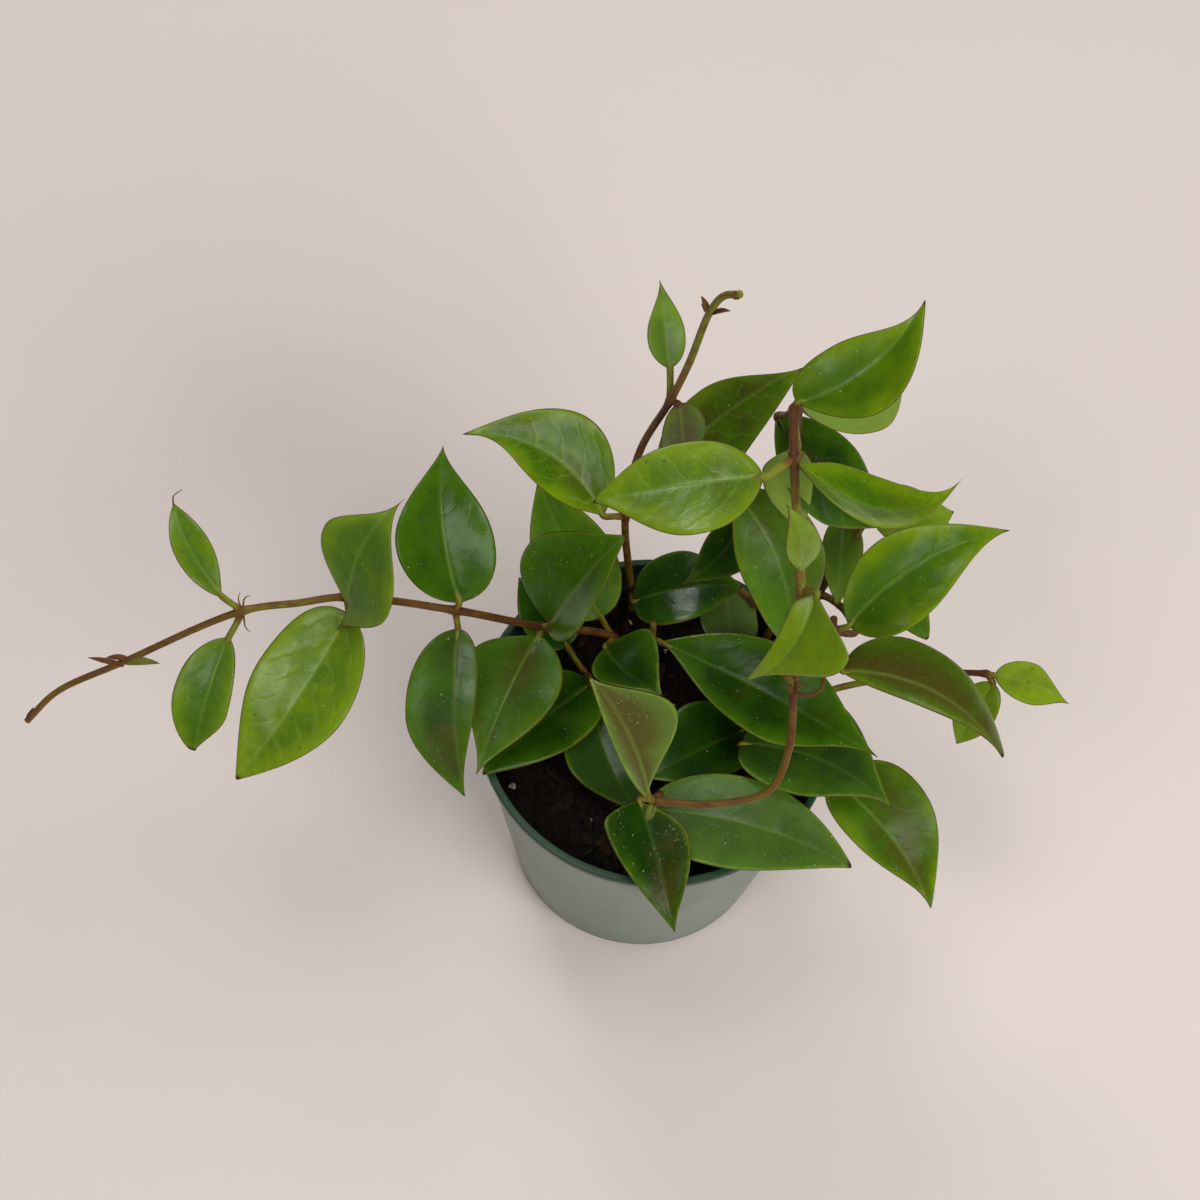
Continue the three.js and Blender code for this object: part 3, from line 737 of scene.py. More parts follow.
# %% Top vine, thin and upright
add_vine(
    "vine_top", radii=(1.15, 0.9),
    path=[(-9, 40, 64), (-10, 40, 84), (-14, 38, 130), (-12, 37.5, 165), (-6, 37, 190),
          (-2.7, 38, 205), (0.5, 39, 225), (3, 38.5, 232), (6.5, 36.5, 235.9)],
    bark=[0.6, 0.6, 0.75, 0.7, 0.85, 0.3, 0.2, 0.2, 0.15],
    leaves=[
        Leaf(1, (-9, 34, 88), (22, 37.5, 97), 24, 0, 0.08, 14, 0.42, -0.02, 1,
             0.85, 0, 0.3, 0.1, 0, veins=0),
        Leaf(2, (-20, 36, 132.5), (-61, 55.5, 136), 27, 0, 0.05, 25, 0.38, 0.15, (2.3, 1.05),
             0.3, 0.45, 0.2, 0.1, 0, lean=0.1, foot=(2.4, 0.9), veins=0.55),
        Leaf(2, (-5, 48, 138), (29, 66, 168), 28, 0, 0.03, 20, (0.43, 0.25), -0.04, (1.7, 1),
             0.36, 0.6, 0.3, 0.1, 0, lean=0.3, foot=(0.85, 1), veins=0.35),
        Leaf(4, (-7, 41, 198), (-11.5, 64.5, 202), 9.6, 0, 0.04, 15, (0.29, 0.34), -0.01, (2, 1.35),
             0.42, 0.3, 0.3, 0.1, 0.3, foot=1.2, stalk=0.05),
        Leaf(4, (-4, 36, 190), (-1, 31, 168), 12.5, 0, 0.04, 14, 0.4, 0, 1,
             0.45, 0.9, 0.1, 0.1, 0.1, stalk=0.9),
    ],
    scales=[Scale((0, 38.5, 225), (-2, 41, 228), 1.6, 0.1, 0.9),
            Scale((1, 38.5, 225), (5, 37.5, 228), 1.6, 0.1, 0.9)],
    bits=[Bit([(-0.6, 38.8, 225.2), (-1.6, 40.2, 226)], (0.4, 0.2), 0.9),
          Bit([(5.2, 36.8, 235), (6.3, 36.5, 235.4)], (1.1, 0.95), 0.7)])

# %% Arching vine
add_vine(
    "vine_arch", radii=(1.35, 0.95),
    path=[(23, 33, 64), (26, 37, 90), (25, 40, 130), (27, 38, 170), (25, 35, 194),
          (23.5, 30, 201), (24, 17, 200), (26.5, 6, 190), (29.5, -6, 178), (30, -15, 168),
          (31, -22.5, 156), (32, -32.5, 142), (28.5, -40.5, 134), (16.5, -43, 128), (0, -42.5, 124)],
    bark=[0.5, 0.5, 0.6, 0.9, 1.0, 1.0, 0.75, 0, 0.1, 0.6, 0.9, 0.6, 0.5, 0.55, 0.6],
    leaves=[
        Leaf(1, (17, 44, 89), (21, 19, 83.5), 17, 0, 0.05, 0, (0.57, 0.45), 0, 1,
             0.8, 0, 0.1, 0.1, 0.45, foot=1.2, veins=0),
        Leaf(2, (20, 41.5, 142), (2.5, 27, 113.5), 16, 0, 0.05, 14, (0.25, 0.47), -0.13, (1.7, 2),
             0.95, 0, 0.3, 0.1, 0, lean=-0.2, foot=1.1, veins=0),
        Leaf(2, (14.5, 36.5, 150), (34.5, 10.5, 118.5), 26, 0, 0.08, -10, (0.57, 0.46), -0.05, (1.2, 0.5),
             0.5, 0.45, 0.3, 0.1, 0.1, lean=-0.2, foot=(1.1, 2.15)),
        Leaf(4, (26, 43, 184), (54, 58, 175), 22, 0, 0.05, 14, 0.4, 0.11, 1,
             0.05, 0, 0.1, 0.1, 0.8),
        Leaf(4, (21.5, 42.5, 178.5), (60, 34.5, 144.5), 29, 0, 0.05, 14, (0.42, 0.15), 0.2, (1.75, 2.4),
             0.78, 0.4, 0.1, 0.1, 0, lean=-0.05, foot=(2, 0.95), stalk=0.8),
        Leaf(5, (24, 31.5, 202), (51, 50, 223), 22, 0, 0.02, 18, (0.38, 0.45), 0.14, (2.1, 1),
             0.32, 0, 0.4, 0.1, 0, lean=0.1, foot=(1.1, 1.9)),
        Leaf(5, (26.5, 30.5, 184), (29.5, 18.5, 165), 13.5, 0, 0.05, 10, (0.32, 0.2), 0.05, (0.5, 1.05),
             0.15, 0, 0.1, 0.1, 0.6, lean=0.3, foot=(2.1, 1.5), stalk=0.1),
        Leaf(6, (17, 11, 200), (-23, 6, 189), 26.5, 0, 0.05, 10, (0.39, 0.44), -0.01, (1.35, 0.95),
             0.2, 0.5, 0.3, 0.1, 0.1, lean=-0.12, foot=(1.6, 1.35), veins=0.6, stalk=0, stalk_thick=1.35),
        Leaf(6, (24, 17, 199.5), (67, 24, 188), 25, -20, -0.06, 18, (0.37, 0.1), 0.3, (2, 1.8),
             0.24, 0.1, 0.3, 0.2, 0, lean=0.05, foot=(3.3, 2.2)),
        Leaf(8, (28, -4, 182), (22.5, 4.5, 199.5), 10.5, 0, 0.05, -15, (0.39, 0.12), 0.1, (1.5, 1.2),
             0, 0.45, 0.2, 0.1, 0.35, lean=0.2, foot=(3.5, 1.4), stalk=0.5),
        Leaf(8, (33, -8, 180.5), (19, -21, 155.5), 21.5, 0, 0.08, 15, (0.12, 0.22), -0.16, (3, 0.8),
             0.06, 0.2, 0.2, 0.4, 0.1, lean=-0.5, foot=(5, 3)),
        Leaf(14, (-1.5, -42.5, 126), (-20, -16, 140), 19, 0, 0.05, 15, (0.43, 0.51), 0.06, (0.9, 1.9),
             0.5, 0.95, 1, 0.9, 0.55, lean=0.45, foot=(1.6, 5)),
    ],
    scales=[Scale((31, -22, 157), (27, -21, 160), 2.4, 0.3, 0.7),
            Scale((31.5, -23, 157), (34, -22, 160), 1.8, 0.3, 0.6),
            Scale((30.5, -23.5, 156), (28.8, -22, 158), 1.3, 0.2, 0.9),
            Scale((24.6, 15.6, 201), (26.4, 18.2, 201.5), 1.3, 0.1, 0.8),
            Scale((0, -43, 124), (-1.5, -47, 121), 2.4, 0.2, 0.1)],
    bits=[Bit([(38, -20.5, 159.5), (37.6, -22.5, 158.6), (36, -24, 158), (34, -24.4, 157.4), (32, -24, 157)],
              (0.5, 0.55), 0.75)])

# %% Right vine
add_vine(
    "vine_right", radii=(1.2, 1.0),
    path=[(28, 29, 64), (34, 33, 88), (43, 35, 101), (51, 26, 108), (51.5, 15, 118),
          (44.5, 9.5, 129), (43, 8.5, 137)],
    bark=[0.4, 0.4, 0.5, 0.6, 0.7, 1.0, 1.0],
    leaves=[
        Leaf(2, (46, 46, 128), (48, 29, 104), 12, 0, 0.05, 14, 0.35, 0, (1.3, 1.45),
             0.45, 0.1, 0.2, 0.1, 0.2, foot=1.1),
        Leaf(2, (53, 43.5, 132.5), (76, 48, 132), 21, 0, 0.05, 14, (0.37, 0.42), 0.07, (1.3, 1),
             0.08, 0.1, 0.1, 0.1, 0.2, lean=0.05, foot=1.1),
        Leaf(3, (57, 40, 110), (73, 19, 110), 14, 0, 0.05, 14, 0.4, 0, 0.75,
             0.5, 0.1, 0.1, 0.1, 0.1),
        Leaf(5, (48, 10, 131), (88.5, 35.5, 145.5), 26, 0, 0.05, 20, (0.36, 0.31), -0.08, (1.1, 1.6),
             0.3, 0, 0.25, 0.6, 0, lean=0.13, foot=(1, 1.4), stalk=0.2),
        Leaf(5, (48, 2, 120), (96.5, -9.5, 98), 20, 0, 0.08, -15, (0.36, 0.41), -0.1, (0.6, 1.65),
             0.45, 0.8, 0.1, 0.1, 0, lean=-0.45, foot=(0.9, 1.6)),
    ])

# %% Runner at the far right
add_vine(
    "vine_runner", radii=(1.1, 0.9),
    path=[(30, 4, 64), (39, 8, 82), (50, 11, 90), (72, 16, 93.5), (86, 16.5, 97), (92, 16, 98.7)],
    bark=[0.1, 0.1, 0.1, 0.3, 0.9, 1.0],
    leaves=[
        Leaf(5, (94, 15.5, 99), (117, 12, 92), 13.5, 0, 0.05, 14, (0.43, 0.37), -0.03, (1.9, 1.5),
             0.05, 0.4, 0.1, 0.2, 0.1, lean=0.05, foot=(1.15, 1.75)),
        Leaf(5, (94, 14, 97), (87, 2, 80), 12, 0, 0.05, 14, 0.45, 0, 1,
             0, 0.4, 0.1, 0.2, 0.1),
    ])

# %% Middle vine, with the largest leaf
add_vine(
    "vine_middle", radii=(1.2, 1.0),
    path=[(-2, 24, 64), (-3, 22, 90), (-3, 23, 97)],
    bark=[0.4, 0.4, 0.6],
    leaves=[
        Leaf(1, (-1, 20, 92), (62.5, -11.5, 95), 30, 0, 0.06, 18, (0.5, 0.56), 0.01, (1.45, 2.1),
             0.72, 0, 0.3, 0.5, 0, foot=(2.5, 3.5), veins=0),
    ])

# %% Low leaves at the left
add_vine(
    "vine_low", radii=(1.2, 1.0),
    path=[(-20, 17, 64), (-20.5, 14, 77), (-19, 8, 85), (-18.5, 6, 89)],
    bark=[0.5, 0.5, 0.6, 0.7],
    leaves=[
        Leaf(1, (-27, 20, 83.3), (-43, 37, 91.2), 18, 0, 0.06, 14, 0.4, 0, 1,
             0.9, 0.1, 0.1, 0.1, 0, veins=0),
        Leaf(2, (-17.5, 6, 82.2), (-2, -27.5, 78.2), 24, 0, 0.05, 14, 0.48, 0.1, 1,
             1, 0, 0.2, 0.3, 0.1, veins=0),
        Leaf(2, (-19, 9, 83), (-47, -24, 86.5), 25, 0, 0.06, 14, 0.4, 0, 1,
             0.8, 0.1, 0.35, 0.3, 0, veins=0),
    ])

# %% Front leaves
add_vine(
    "vine_front", radii=(1.2, 1.0),
    path=[(4, -22, 64), (3, -24, 84), (2, -28, 92)],
    bark=[0.5, 0.5, 0.6],
    leaves=[
        Leaf(1, (-0.5, -28.5, 83.5), (57, -41.5, 87), 28.5, 0, 0.04, 14, (0.47, 0.38), -0.05, (0.85, 1.1),
             0.65, 0.1, 0.7, 0.7, 0.25, lean=0.07, foot=0.8),
        Leaf(2, (-3, -29.5, 92.5), (10, -62.5, 80.5), 22, 0, 0.08, 18, (0.35, 0.12), 0, (1.45, 1.1),
             0.88, 0.35, 0.5, 0.5, 0, lean=0.1, foot=(2.9, 1.15), veins=0),
    ])

# %% Low leaves at the front right
add_vine(
    "vine_front_right", radii=(1.2, 1.0),
    path=[(18, -10, 64), (24, -10, 79), (38, -12, 84.5), (49, -14, 87.2), (54, -15, 86)],
    bark=[0.4, 0.4, 0.4, 0.5, 0.6],
    leaves=[
        Leaf(1, (26, -1, 83), (-1, -19, 83), 25, 0, 0.05, 14, 0.4, 0, 1,
             0.9, 0, 0.3, 0.3, 0, lean=0.1, veins=0, stalk=0.3),
        Leaf(2, (24, -9, 90.5), (68, -23, 87), 31.5, 0, 0.06, 15, (0.41, 0.37), -0.08, (1.5, 1.8),
             0.75, 0.1, 0.5, 0.6, 0.1, lean=-0.13, veins=0),
        Leaf(4, (51, -14, 84), (83.5, -41.5, 60.5), 27, 0, 0.09, 16, 0.32, -0.03, (1, 1.7),
             0.42, 0.5, 0.3, 0.3, 0, lean=-0.22, foot=0.8),
    ])

print(len(VINES), "vines with", sum(len(vine.leaves) for vine in VINES.values()), "leaves")

# %% [markdown]
# ## The shape of a leaf
#
# A hoya leaf is a thick oval blade that draws in to a sharp drip tip. Its midrib is arched, its two
# halves are folded up along it and curl outwards, and its margin is round, not cut. The blade is
# described by a formula in two directions, s from base to tip and v from margin to margin, so the
# same description serves every leaf. A subdivided plane bent by hand would do for one leaf; the
# formula does it for all, and also knows where the midrib and margin are, which the finish needs.

# %% Leaf formula
CREASE, ROUNDNESS = 0.35, 2.2


def unit(v):
    return v / np.linalg.norm(v)


def of_half(value, v):
    """The value for the half of the blade that v lies in, where the two halves have their own."""
    return np.where(v > 0, value[1], value[0]) if isinstance(value, tuple) else value


def half_width(leaf, s, v):
    """The width of one half of the blade at s: widest where the leaf says, and nothing at both ends."""
    widest, taper, foot = (of_half(value, v) for value in (leaf.widest, leaf.taper, leaf.foot))
    below = np.clip(1 - s / widest, 0, 1)
    above = np.clip((s - widest) / (1 - widest), 0, 1)
    share = np.where(s < widest, (1 - below ** ROUNDNESS) ** (foot / ROUNDNESS),
                     np.cos(math.pi / 2 * above) ** taper)
    return leaf.width / 2 * share * (1 + leaf.lean * np.sign(v))


def blade_frame(leaf):
    """The base and length of a blade, and the directions along it, up from it and across it."""
    base, tip = np.array(leaf.base, float), np.array(leaf.tip, float)
    length = np.linalg.norm(tip - base)
    along = (tip - base) / length
    up = unit(np.array([0, 0, 1.0]) - along * along[2])
    side = np.cross(along, up)
    up = up * math.cos(math.radians(leaf.roll)) + side * math.sin(math.radians(leaf.roll))
    return base, length, along, up, np.cross(along, up)


def on_blade(leaf, s, v):
    """Points of the blade's middle surface, for arrays s and v of one shape."""
    base, length, along, up, across = blade_frame(leaf)
    angle = math.radians(leaf.fold) or 1e-4
    crease = angle * CREASE
    curl = angle - crease
    half = half_width(leaf, s, v)
    carried = np.clip(v * np.sign(leaf.lobe), 0, 1) ** 1.5 * (1 - s) ** 3
    back = abs(leaf.lobe) * leaf.width / 2 * carried
    turned = crease + curl * np.abs(v)
    out = np.sign(v) * half * (np.sin(turned) - math.sin(crease)) / curl
    lift = half * (math.cos(crease) - np.cos(turned)) / curl
    bend = length * 4 * s * (1 - s)
    return (base + along * (length * s - back)[..., None] + up * (lift + leaf.arch * bend)[..., None]
            + across * (out + leaf.bow * bend)[..., None])


sample = VINES["vine_left"].leaves[7]
print("a left leaf is", round(blade_frame(sample)[1]), "mm long and", sample.width, "mm wide")

# %% [markdown]
# ### Body of a leaf
#
# The mesh wraps a ring of points round the blade at each station: over the upper face, round the
# margin, and back under. The stations crowd together at the base and the tip, and the lanes at the
# midrib and margin, where the form changes fastest. The midrib is a shallow channel above and a ridge
# below. Every blade also gets a slight wave of its own along its margin, since none grows flat.

# %% Leaf body
STATIONS, FIRST_STATION, LAST_STATION = 44, 0.002, 0.991
LANES = [0, 0.03, 0.08, 0.16, 0.28, 0.42, 0.58, 0.74, 0.88, 0.96, 1]
MIDRIB_THICKNESS, MARGIN_THICKNESS = 1.0, 0.75
THINS_UNDER = 1.6
CHANNEL_DEPTH, CHANNEL_REACH = 0.22, 0.5
RIDGE_HEIGHT, RIDGE_REACH = 0.45, 0.7
WAVE, WAVE_HALF_WIDTH, WAVES_ALONG, OTHER_HALF_SHIFT = 0.35, 12, 1.7, 1.9


def leaf_body(leaf, seed, wave=WAVE):
    """Points, faces, skins and marks of one leaf. The upper face has skin 0, and the rest skin 1."""
    over = [-x for x in reversed(LANES)] + LANES[1:]
    lanes = np.array(over + over[-2:0:-1])
    above = np.arange(len(lanes)) < len(over)
    t = np.linspace(0, 1, STATIONS)
    crowded = 0.65 * (0.5 - 0.5 * np.cos(math.pi * t)) + 0.35 * t
    s, v = np.meshgrid(FIRST_STATION + (LAST_STATION - FIRST_STATION) * crowded, lanes, indexing="ij")
    length, up = blade_frame(leaf)[1], blade_frame(leaf)[3]
    half, middle = half_width(leaf, s, v), on_blade(leaf, s, v)

    thick = MIDRIB_THICKNESS + (MARGIN_THICKNESS - MIDRIB_THICKNESS) * np.abs(v)
    thick *= np.sqrt(np.clip(1 - np.abs(v) ** 8, 0, 1)) * np.clip(half / THINS_UNDER, 0.3, 1)
    from_midrib = np.abs(v) * half
    channel = CHANNEL_DEPTH * np.exp(-(from_midrib / CHANNEL_REACH) ** 2) * (1 - s)
    ridge = RIDGE_HEIGHT * np.exp(-(from_midrib / RIDGE_REACH) ** 2) * (1 - s)
    phase = 2 * math.pi * (WAVES_ALONG * s + seed) + (v > 0) * OTHER_HALF_SHIFT
    ripple = wave * (half / WAVE_HALF_WIDTH) * np.sin(phase) * v ** 2
    rise = np.where(above, thick / 2 - channel, -thick / 2 - ridge) + ripple
    ring = middle + up * rise[..., None]
    points = np.vstack([ring.reshape(-1, 3), middle[0].mean(0), middle[-1].mean(0)])

    one_ring = [0] * (len(over) - 1) + [1] * (len(lanes) - len(over) + 1)
    skins = one_ring * (STATIONS - 1) + [1] * (2 * len(lanes))
    shift = 40 * seed
    place = np.stack([s, v, 0 * s], -1).reshape(-1, 3)
    flat = np.stack([s * length, v * half, 0 * s + shift], -1).reshape(-1, 3)
    marks = dict(
        leaf_place=np.vstack([place, [[FIRST_STATION, 0, 0], [LAST_STATION, 0, 0]]]),
        leaf_flat=np.vstack([flat, [[0, 0, shift], [length, 0, shift]]]),
        leaf_rim=np.append(half * (1 - np.abs(v)), [0.0, 0.0]),
        leaf_look=np.tile([leaf.age, leaf.blush, leaf.flecks], (len(points), 1)),
        leaf_light=np.tile([leaf.rim, leaf.haze, leaf.veins], (len(points), 1)))
    return points, wrap(STATIONS, len(lanes)), skins, marks


sample_points, sample_faces = leaf_body(sample, 0.3)[:2]
print("one leaf has", len(sample_points), "points and", len(sample_faces), "faces")

# %% [markdown]
# ## Leaf finish
#
# A waxy leaf is built up in layers, as it would be painted: a ground colour that goes from fresh to
# deep green with age and in cloudy patches, and deeper still as painted shade on the lowest leaves and
# near each stalk, a grey haze that is partly a painted sheen, the brown blush that strong light leaves
# along the middle, the paler net, side veins and midrib, a light band inside the margin, the thin
# red-brown margin itself, the dark drip tip and foot, and last old brown spots and white flecks.
# Veins are a pattern in the leaf's own millimetres: lines that leave the midrib at a slant, bend
# towards the tip and fade before the margin, with a fine net between them. On most leaves the wax
# hides all but the midrib, so each leaf has its own share.

# %% Vein group
VEIN_SPACING, VEIN_STAGGER = 8.5, 3.7

veins = Group("leaf_veins", Along=0.0, Across=0.0, Seed=0.0, Edge=0.0)
along, across, edge = (veins.given[name] for name in ("Along", "Across", "Edge"))
flat_place = veins.put("CombineXYZ", {"X": along, "Y": across, "Z": veins.given["Seed"]}).outputs[0]
outward = veins.maths("ABSOLUTE", across)
slant = veins.times(outward, veins.times_plus(outward, 0.045, 0.5))
stagger = veins.times(veins.maths("GREATER_THAN", across, 0.0), VEIN_STAGGER)
shifted = veins.maths("ADD", veins.maths("SUBTRACT", along, slant), stagger)
shifted = veins.times_plus(veins.noise(flat_place, 0.16, 2.0), 9.0, shifted)
turns = veins.maths("DIVIDE", shifted, VEIN_SPACING)
near = veins.times(veins.maths("PINGPONG", turns, 0.5), VEIN_SPACING)
fades = veins.ramp(edge, 0.8, 3.5)
net_cells = veins.put("TexVoronoi", {"Vector": flat_place, "Scale": 0.42}, feature="DISTANCE_TO_EDGE")
veins.give(
    Midrib=veins.ramp(outward, 0.1, 0.9, 1.0, 0.0),
    Side=veins.times(veins.ramp(near, 0.05, 0.6, 1.0, 0.0), fades),
    Valley=veins.times(veins.ramp(near, 0.0, 2.2, 1.0, 0.0), fades),
    Net=veins.times(veins.ramp(net_cells.outputs["Distance"], 0.0, 0.12, 1.0, 0.0), fades))

# %% Leaf colours
# DEEP is deep green, darkened further so that it also carries the painted shade of the inner, lower leaves.
FRESH, MATURE, DEEP = rgb(124, 154, 12), rgb(66, 106, 8), rgb(19, 50, 5)
VEIN_GREEN = rgb(134, 164, 70)
BLUSH_BROWN = rgb(78, 60, 24)
# A grey haze, which on the palest leaves is a painted sheen.
HAZE_AND_SHEEN_GREY = rgb(128, 150, 84)
LIGHT_MARGIN = rgb(126, 150, 46)
RED_MARGIN = rgb(92, 50, 26)
TIP_BROWN = rgb(62, 34, 20)
FLECK_WHITE = rgb(190, 196, 158)
UNDERSIDE = rgb(112, 140, 64)


class LeafFinish(Finish):
    """A finish that knows the marks on a leaf, each as a number, and the pattern of its veins."""

    MARKS = {"leaf_place": ("s", "v"), "leaf_flat": ("along", "across", "seed"),
             "leaf_look": ("age", "blush", "flecks"), "leaf_light": ("rim", "haze", "veins")}

    def __init__(self, name):
        super().__init__(name)
        for mark, parts in self.MARKS.items():
            split = self.put("SeparateXYZ", {"Vector": self.mark(mark, "Vector")}).outputs
            for part, value in zip(parts, split):
                setattr(self, part, value)
        self.flat = self.mark("leaf_flat", "Vector")
        self.edge = self.mark("leaf_rim")

    def vein_masks(self):
        inputs = {"Along": self.along, "Across": self.across, "Seed": self.seed, "Edge": self.edge}
        return self.group("leaf_veins", inputs)


print("fresh leaf green in linear light:", [round(c, 3) for c in FRESH[:3]])

# %% Leaf upper face: ground colour, clouds, haze and blush
face = LeafFinish("leaf_face")
vein = face.vein_masks()
inner = face.ramp(face.edge, 0.5, 7.0, -0.12, 0.08)
cloudiness = face.times_plus(face.patches(face.flat, 0.09, 0.25, 0.75), 0.22, -0.11)
# The age mark darkens the ground towards deep green; on the lowest, inner leaves it is raised as painted
# shade.
age = face.maths("ADD", face.maths("ADD", face.age, inner), cloudiness, clamp=True)
mottle = face.times(face.patches(face.flat, 0.45, 0.35, 0.7), 0.16)
# Painted shade: the blade darkens towards deep green near its stalk, over its first third.
shade_near_stalk = face.ramp(face.s, 0.0, 0.3, 0.3, 0.0)
grainy = face.patches(face.flat, 1.1, 0.3, 0.7)
middle_share = face.ramp(face.maths("ABSOLUTE", face.v), 0.25, 0.85, 1.0, 0.35)
thin_out = face.times_plus(face.blush, -0.4, 0.6)
blush_cover = face.patches(face.flat, 0.06, thin_out, face.maths("ADD", thin_out, 0.22))
blush_share = face.times_plus(face.blush, 0.6, 0.25)
leaf_ground = face.layers(
    FRESH,
    (face.ramp(age, 0.0, 0.5), MATURE),
    (face.ramp(age, 0.45, 1.0), DEEP),
    (face.maths("MAXIMUM", mottle, shade_near_stalk), DEEP),
    (face.times(grainy, 0.07), MATURE),
    # Grey haze, partly a painted sheen on the palest leaves.
    (face.times(face.haze, 0.6), HAZE_AND_SHEEN_GREY),
    (face.times(blush_cover, blush_share, middle_share), BLUSH_BROWN))
print("the ground colour so far takes", len(face.tree.nodes), "nodes")

# %% Leaf upper face: veins, margin and flecks
veining = face.times(face.veins, 0.5)
rib_fades = face.times(face.ramp(face.s, 0.0, 0.9, 1.0, 0.45), face.ramp(face.age, 0.4, 0.95, 1.0, 0.4))
rib_share = face.times(rib_fades, face.times_plus(face.veins, 0.4, 0.25))
ragged = face.patches(face.flat, 0.2, 0.3, 0.7)
light_band = face.times(
    face.ramp(face.edge, 0.15, face.maths("ADD", ragged, 0.9), 1.0, 0.0),
    face.times_plus(face.rim, 0.65, 0.14),
    face.times_plus(ragged, 0.6, 0.4))
red_share = face.times(face.times_plus(ragged, 0.5, 0.45), face.ramp(face.rim, 0.3, 0.9, 1.0, 0.15))
red_line = face.times(face.ramp(face.edge, 0.1, 0.42, 1.0, 0.0), red_share)
old_spots = face.spots(face.flat, 0.22, 0.16, 0.3)
fine_spots = face.spots(face.flat, 0.8, 0.2, face.times(face.flecks, 0.12))
dust = face.spots(face.flat, 1.9, 0.3, face.times(face.flecks, 0.3))
dusty_places = face.patches(face.flat, 0.09, 0.45, 0.62)
speckle = face.maths("MAXIMUM", fine_spots, face.times(dust, dusty_places))
leaf_colour = face.layers(
    leaf_ground,
    (face.times(vein["Net"], veining, 0.35), VEIN_GREEN),
    (face.times(vein["Side"], veining), VEIN_GREEN),
    (face.times(vein["Midrib"], rib_share), VEIN_GREEN),
    (light_band, LIGHT_MARGIN),
    (red_line, RED_MARGIN),
    (face.ramp(face.s, 0.955, 0.985), TIP_BROWN),
    (face.ramp(face.s, 0.004, 0.03, 0.5, 0.0), TIP_BROWN),
    (face.times(old_spots, 0.45), BLUSH_BROWN),
    (face.times(speckle, 0.6), FLECK_WHITE))
print("with veins, margin and flecks it takes", len(face.tree.nodes), "nodes")

# %% Leaf upper face: wax and relief, the relief in millimetres
wax = face.patches(face.flat, 0.18, 0.25, 0.75)
rough = face.times_plus(wax, 0.1, face.times_plus(face.haze, 0.25, 0.16))
rough = face.times_plus(speckle, 0.25, rough)
swells = face.times(face.noise(face.flat, 0.09, 1.0), 0.7)
relief = face.times_plus(face.noise(face.flat, 1.8, 2.0), 0.035, swells)
relief = face.times_plus(vein["Valley"], face.times_plus(face.veins, -0.05, -0.02), relief)
relief = face.times_plus(speckle, 0.04, relief)
face.surface(leaf_colour, rough, relief, strength=1.0, depth=MM, mirroring=0.36)

# %% Leaf underside
back = LeafFinish("leaf_back")
vein = back.vein_masks()
colour = back.layers(
    UNDERSIDE,
    (back.times(back.age, 0.6), MATURE),
    (back.times(back.blush, 0.3), BLUSH_BROWN),
    (back.times(back.patches(back.flat, 0.3, 0.3, 0.7), 0.2), UNDERSIDE),
    (back.times(vein["Side"], 0.2), VEIN_GREEN),
    (back.times(vein["Midrib"], 0.5), VEIN_GREEN),
    (back.ramp(back.edge, 0.1, 0.45, 0.7, 0.0), RED_MARGIN),
    (back.ramp(back.s, 0.955, 0.985), TIP_BROWN))
rough = back.ramp(back.patches(back.flat, 0.4, 0.3, 0.7), 0.0, 1.0, 0.4, 0.52)
relief = back.times_plus(vein["Valley"], 0.12, back.times(vein["Net"], 0.04))
back.surface(colour, rough, relief, strength=1.0, depth=MM)

# %% Bract finish: its age mark says how dry it is
bract = LeafFinish("bract")
fibre = bract.patches(bract.stretched(bract.flat, 0.3, 2.5, 1), 1.6, 0.3, 0.7)
colour = bract.layers(
    rgb(112, 132, 44),
    (bract.age, rgb(110, 66, 34)),
    (bract.times(fibre, 0.4), rgb(70, 42, 24)),
    (bract.ramp(bract.s, 0.7, 1.0, 0.0, 0.7), TIP_BROWN))
rough = bract.ramp(fibre, 0.0, 1.0, 0.5, 0.7)
bract.surface(colour, rough, bract.times(fibre, 0.1), strength=1.0, depth=MM)

# %% [markdown]
# ## Stems and leaf stalks
#
# A hoya stem is a thin wiry rod, smooth and olive where it is young and red-brown where it has turned
# woody, and it thickens into a joint wherever a pair of leaves grows. It is a tube swept along a
# smooth curve through the table's points. A curve object with a bevel could do this too, but only a
# mesh can carry the swelling joints and the marks for bark and green.

# %% Tube along a curve
STEM_STEPS, STALK_STEPS = 14, 6
BARK_RADIUS = 1.3


def smooth_path(through, steps):
    """A centripetal Catmull-Rom curve through the given points, and the index of each of them on it."""
    p = np.array(through, float)
    p = np.vstack([2 * p[0] - p[1], p, 2 * p[-1] - p[-2]])
    made, index = [], []
    for i in range(1, len(p) - 2):
        knots = np.cumsum([0] + [np.linalg.norm(p[i + k] - p[i + k - 1]) ** 0.5 for k in range(3)])
        index.append(len(made))
        for t in np.linspace(knots[1], knots[2], steps, endpoint=False):
            a = [((knots[k + 1] - t) * p[i - 1 + k] + (t - knots[k]) * p[i + k]) / (knots[k + 1] - knots[k])
                 for k in range(3)]
            b = [((knots[k + 2] - t) * a[k] + (t - knots[k]) * a[k + 1]) / (knots[k + 2] - knots[k])
                 for k in range(2)]
            made.append(((knots[2] - t) * b[0] + (t - knots[1]) * b[1]) / (knots[2] - knots[1]))
    index.append(len(made))
    made.append(p[-2])
    return np.array(made), index


def distance_along(line):
    return np.concatenate([[0], np.cumsum(np.linalg.norm(np.diff(line, axis=0), axis=1))])


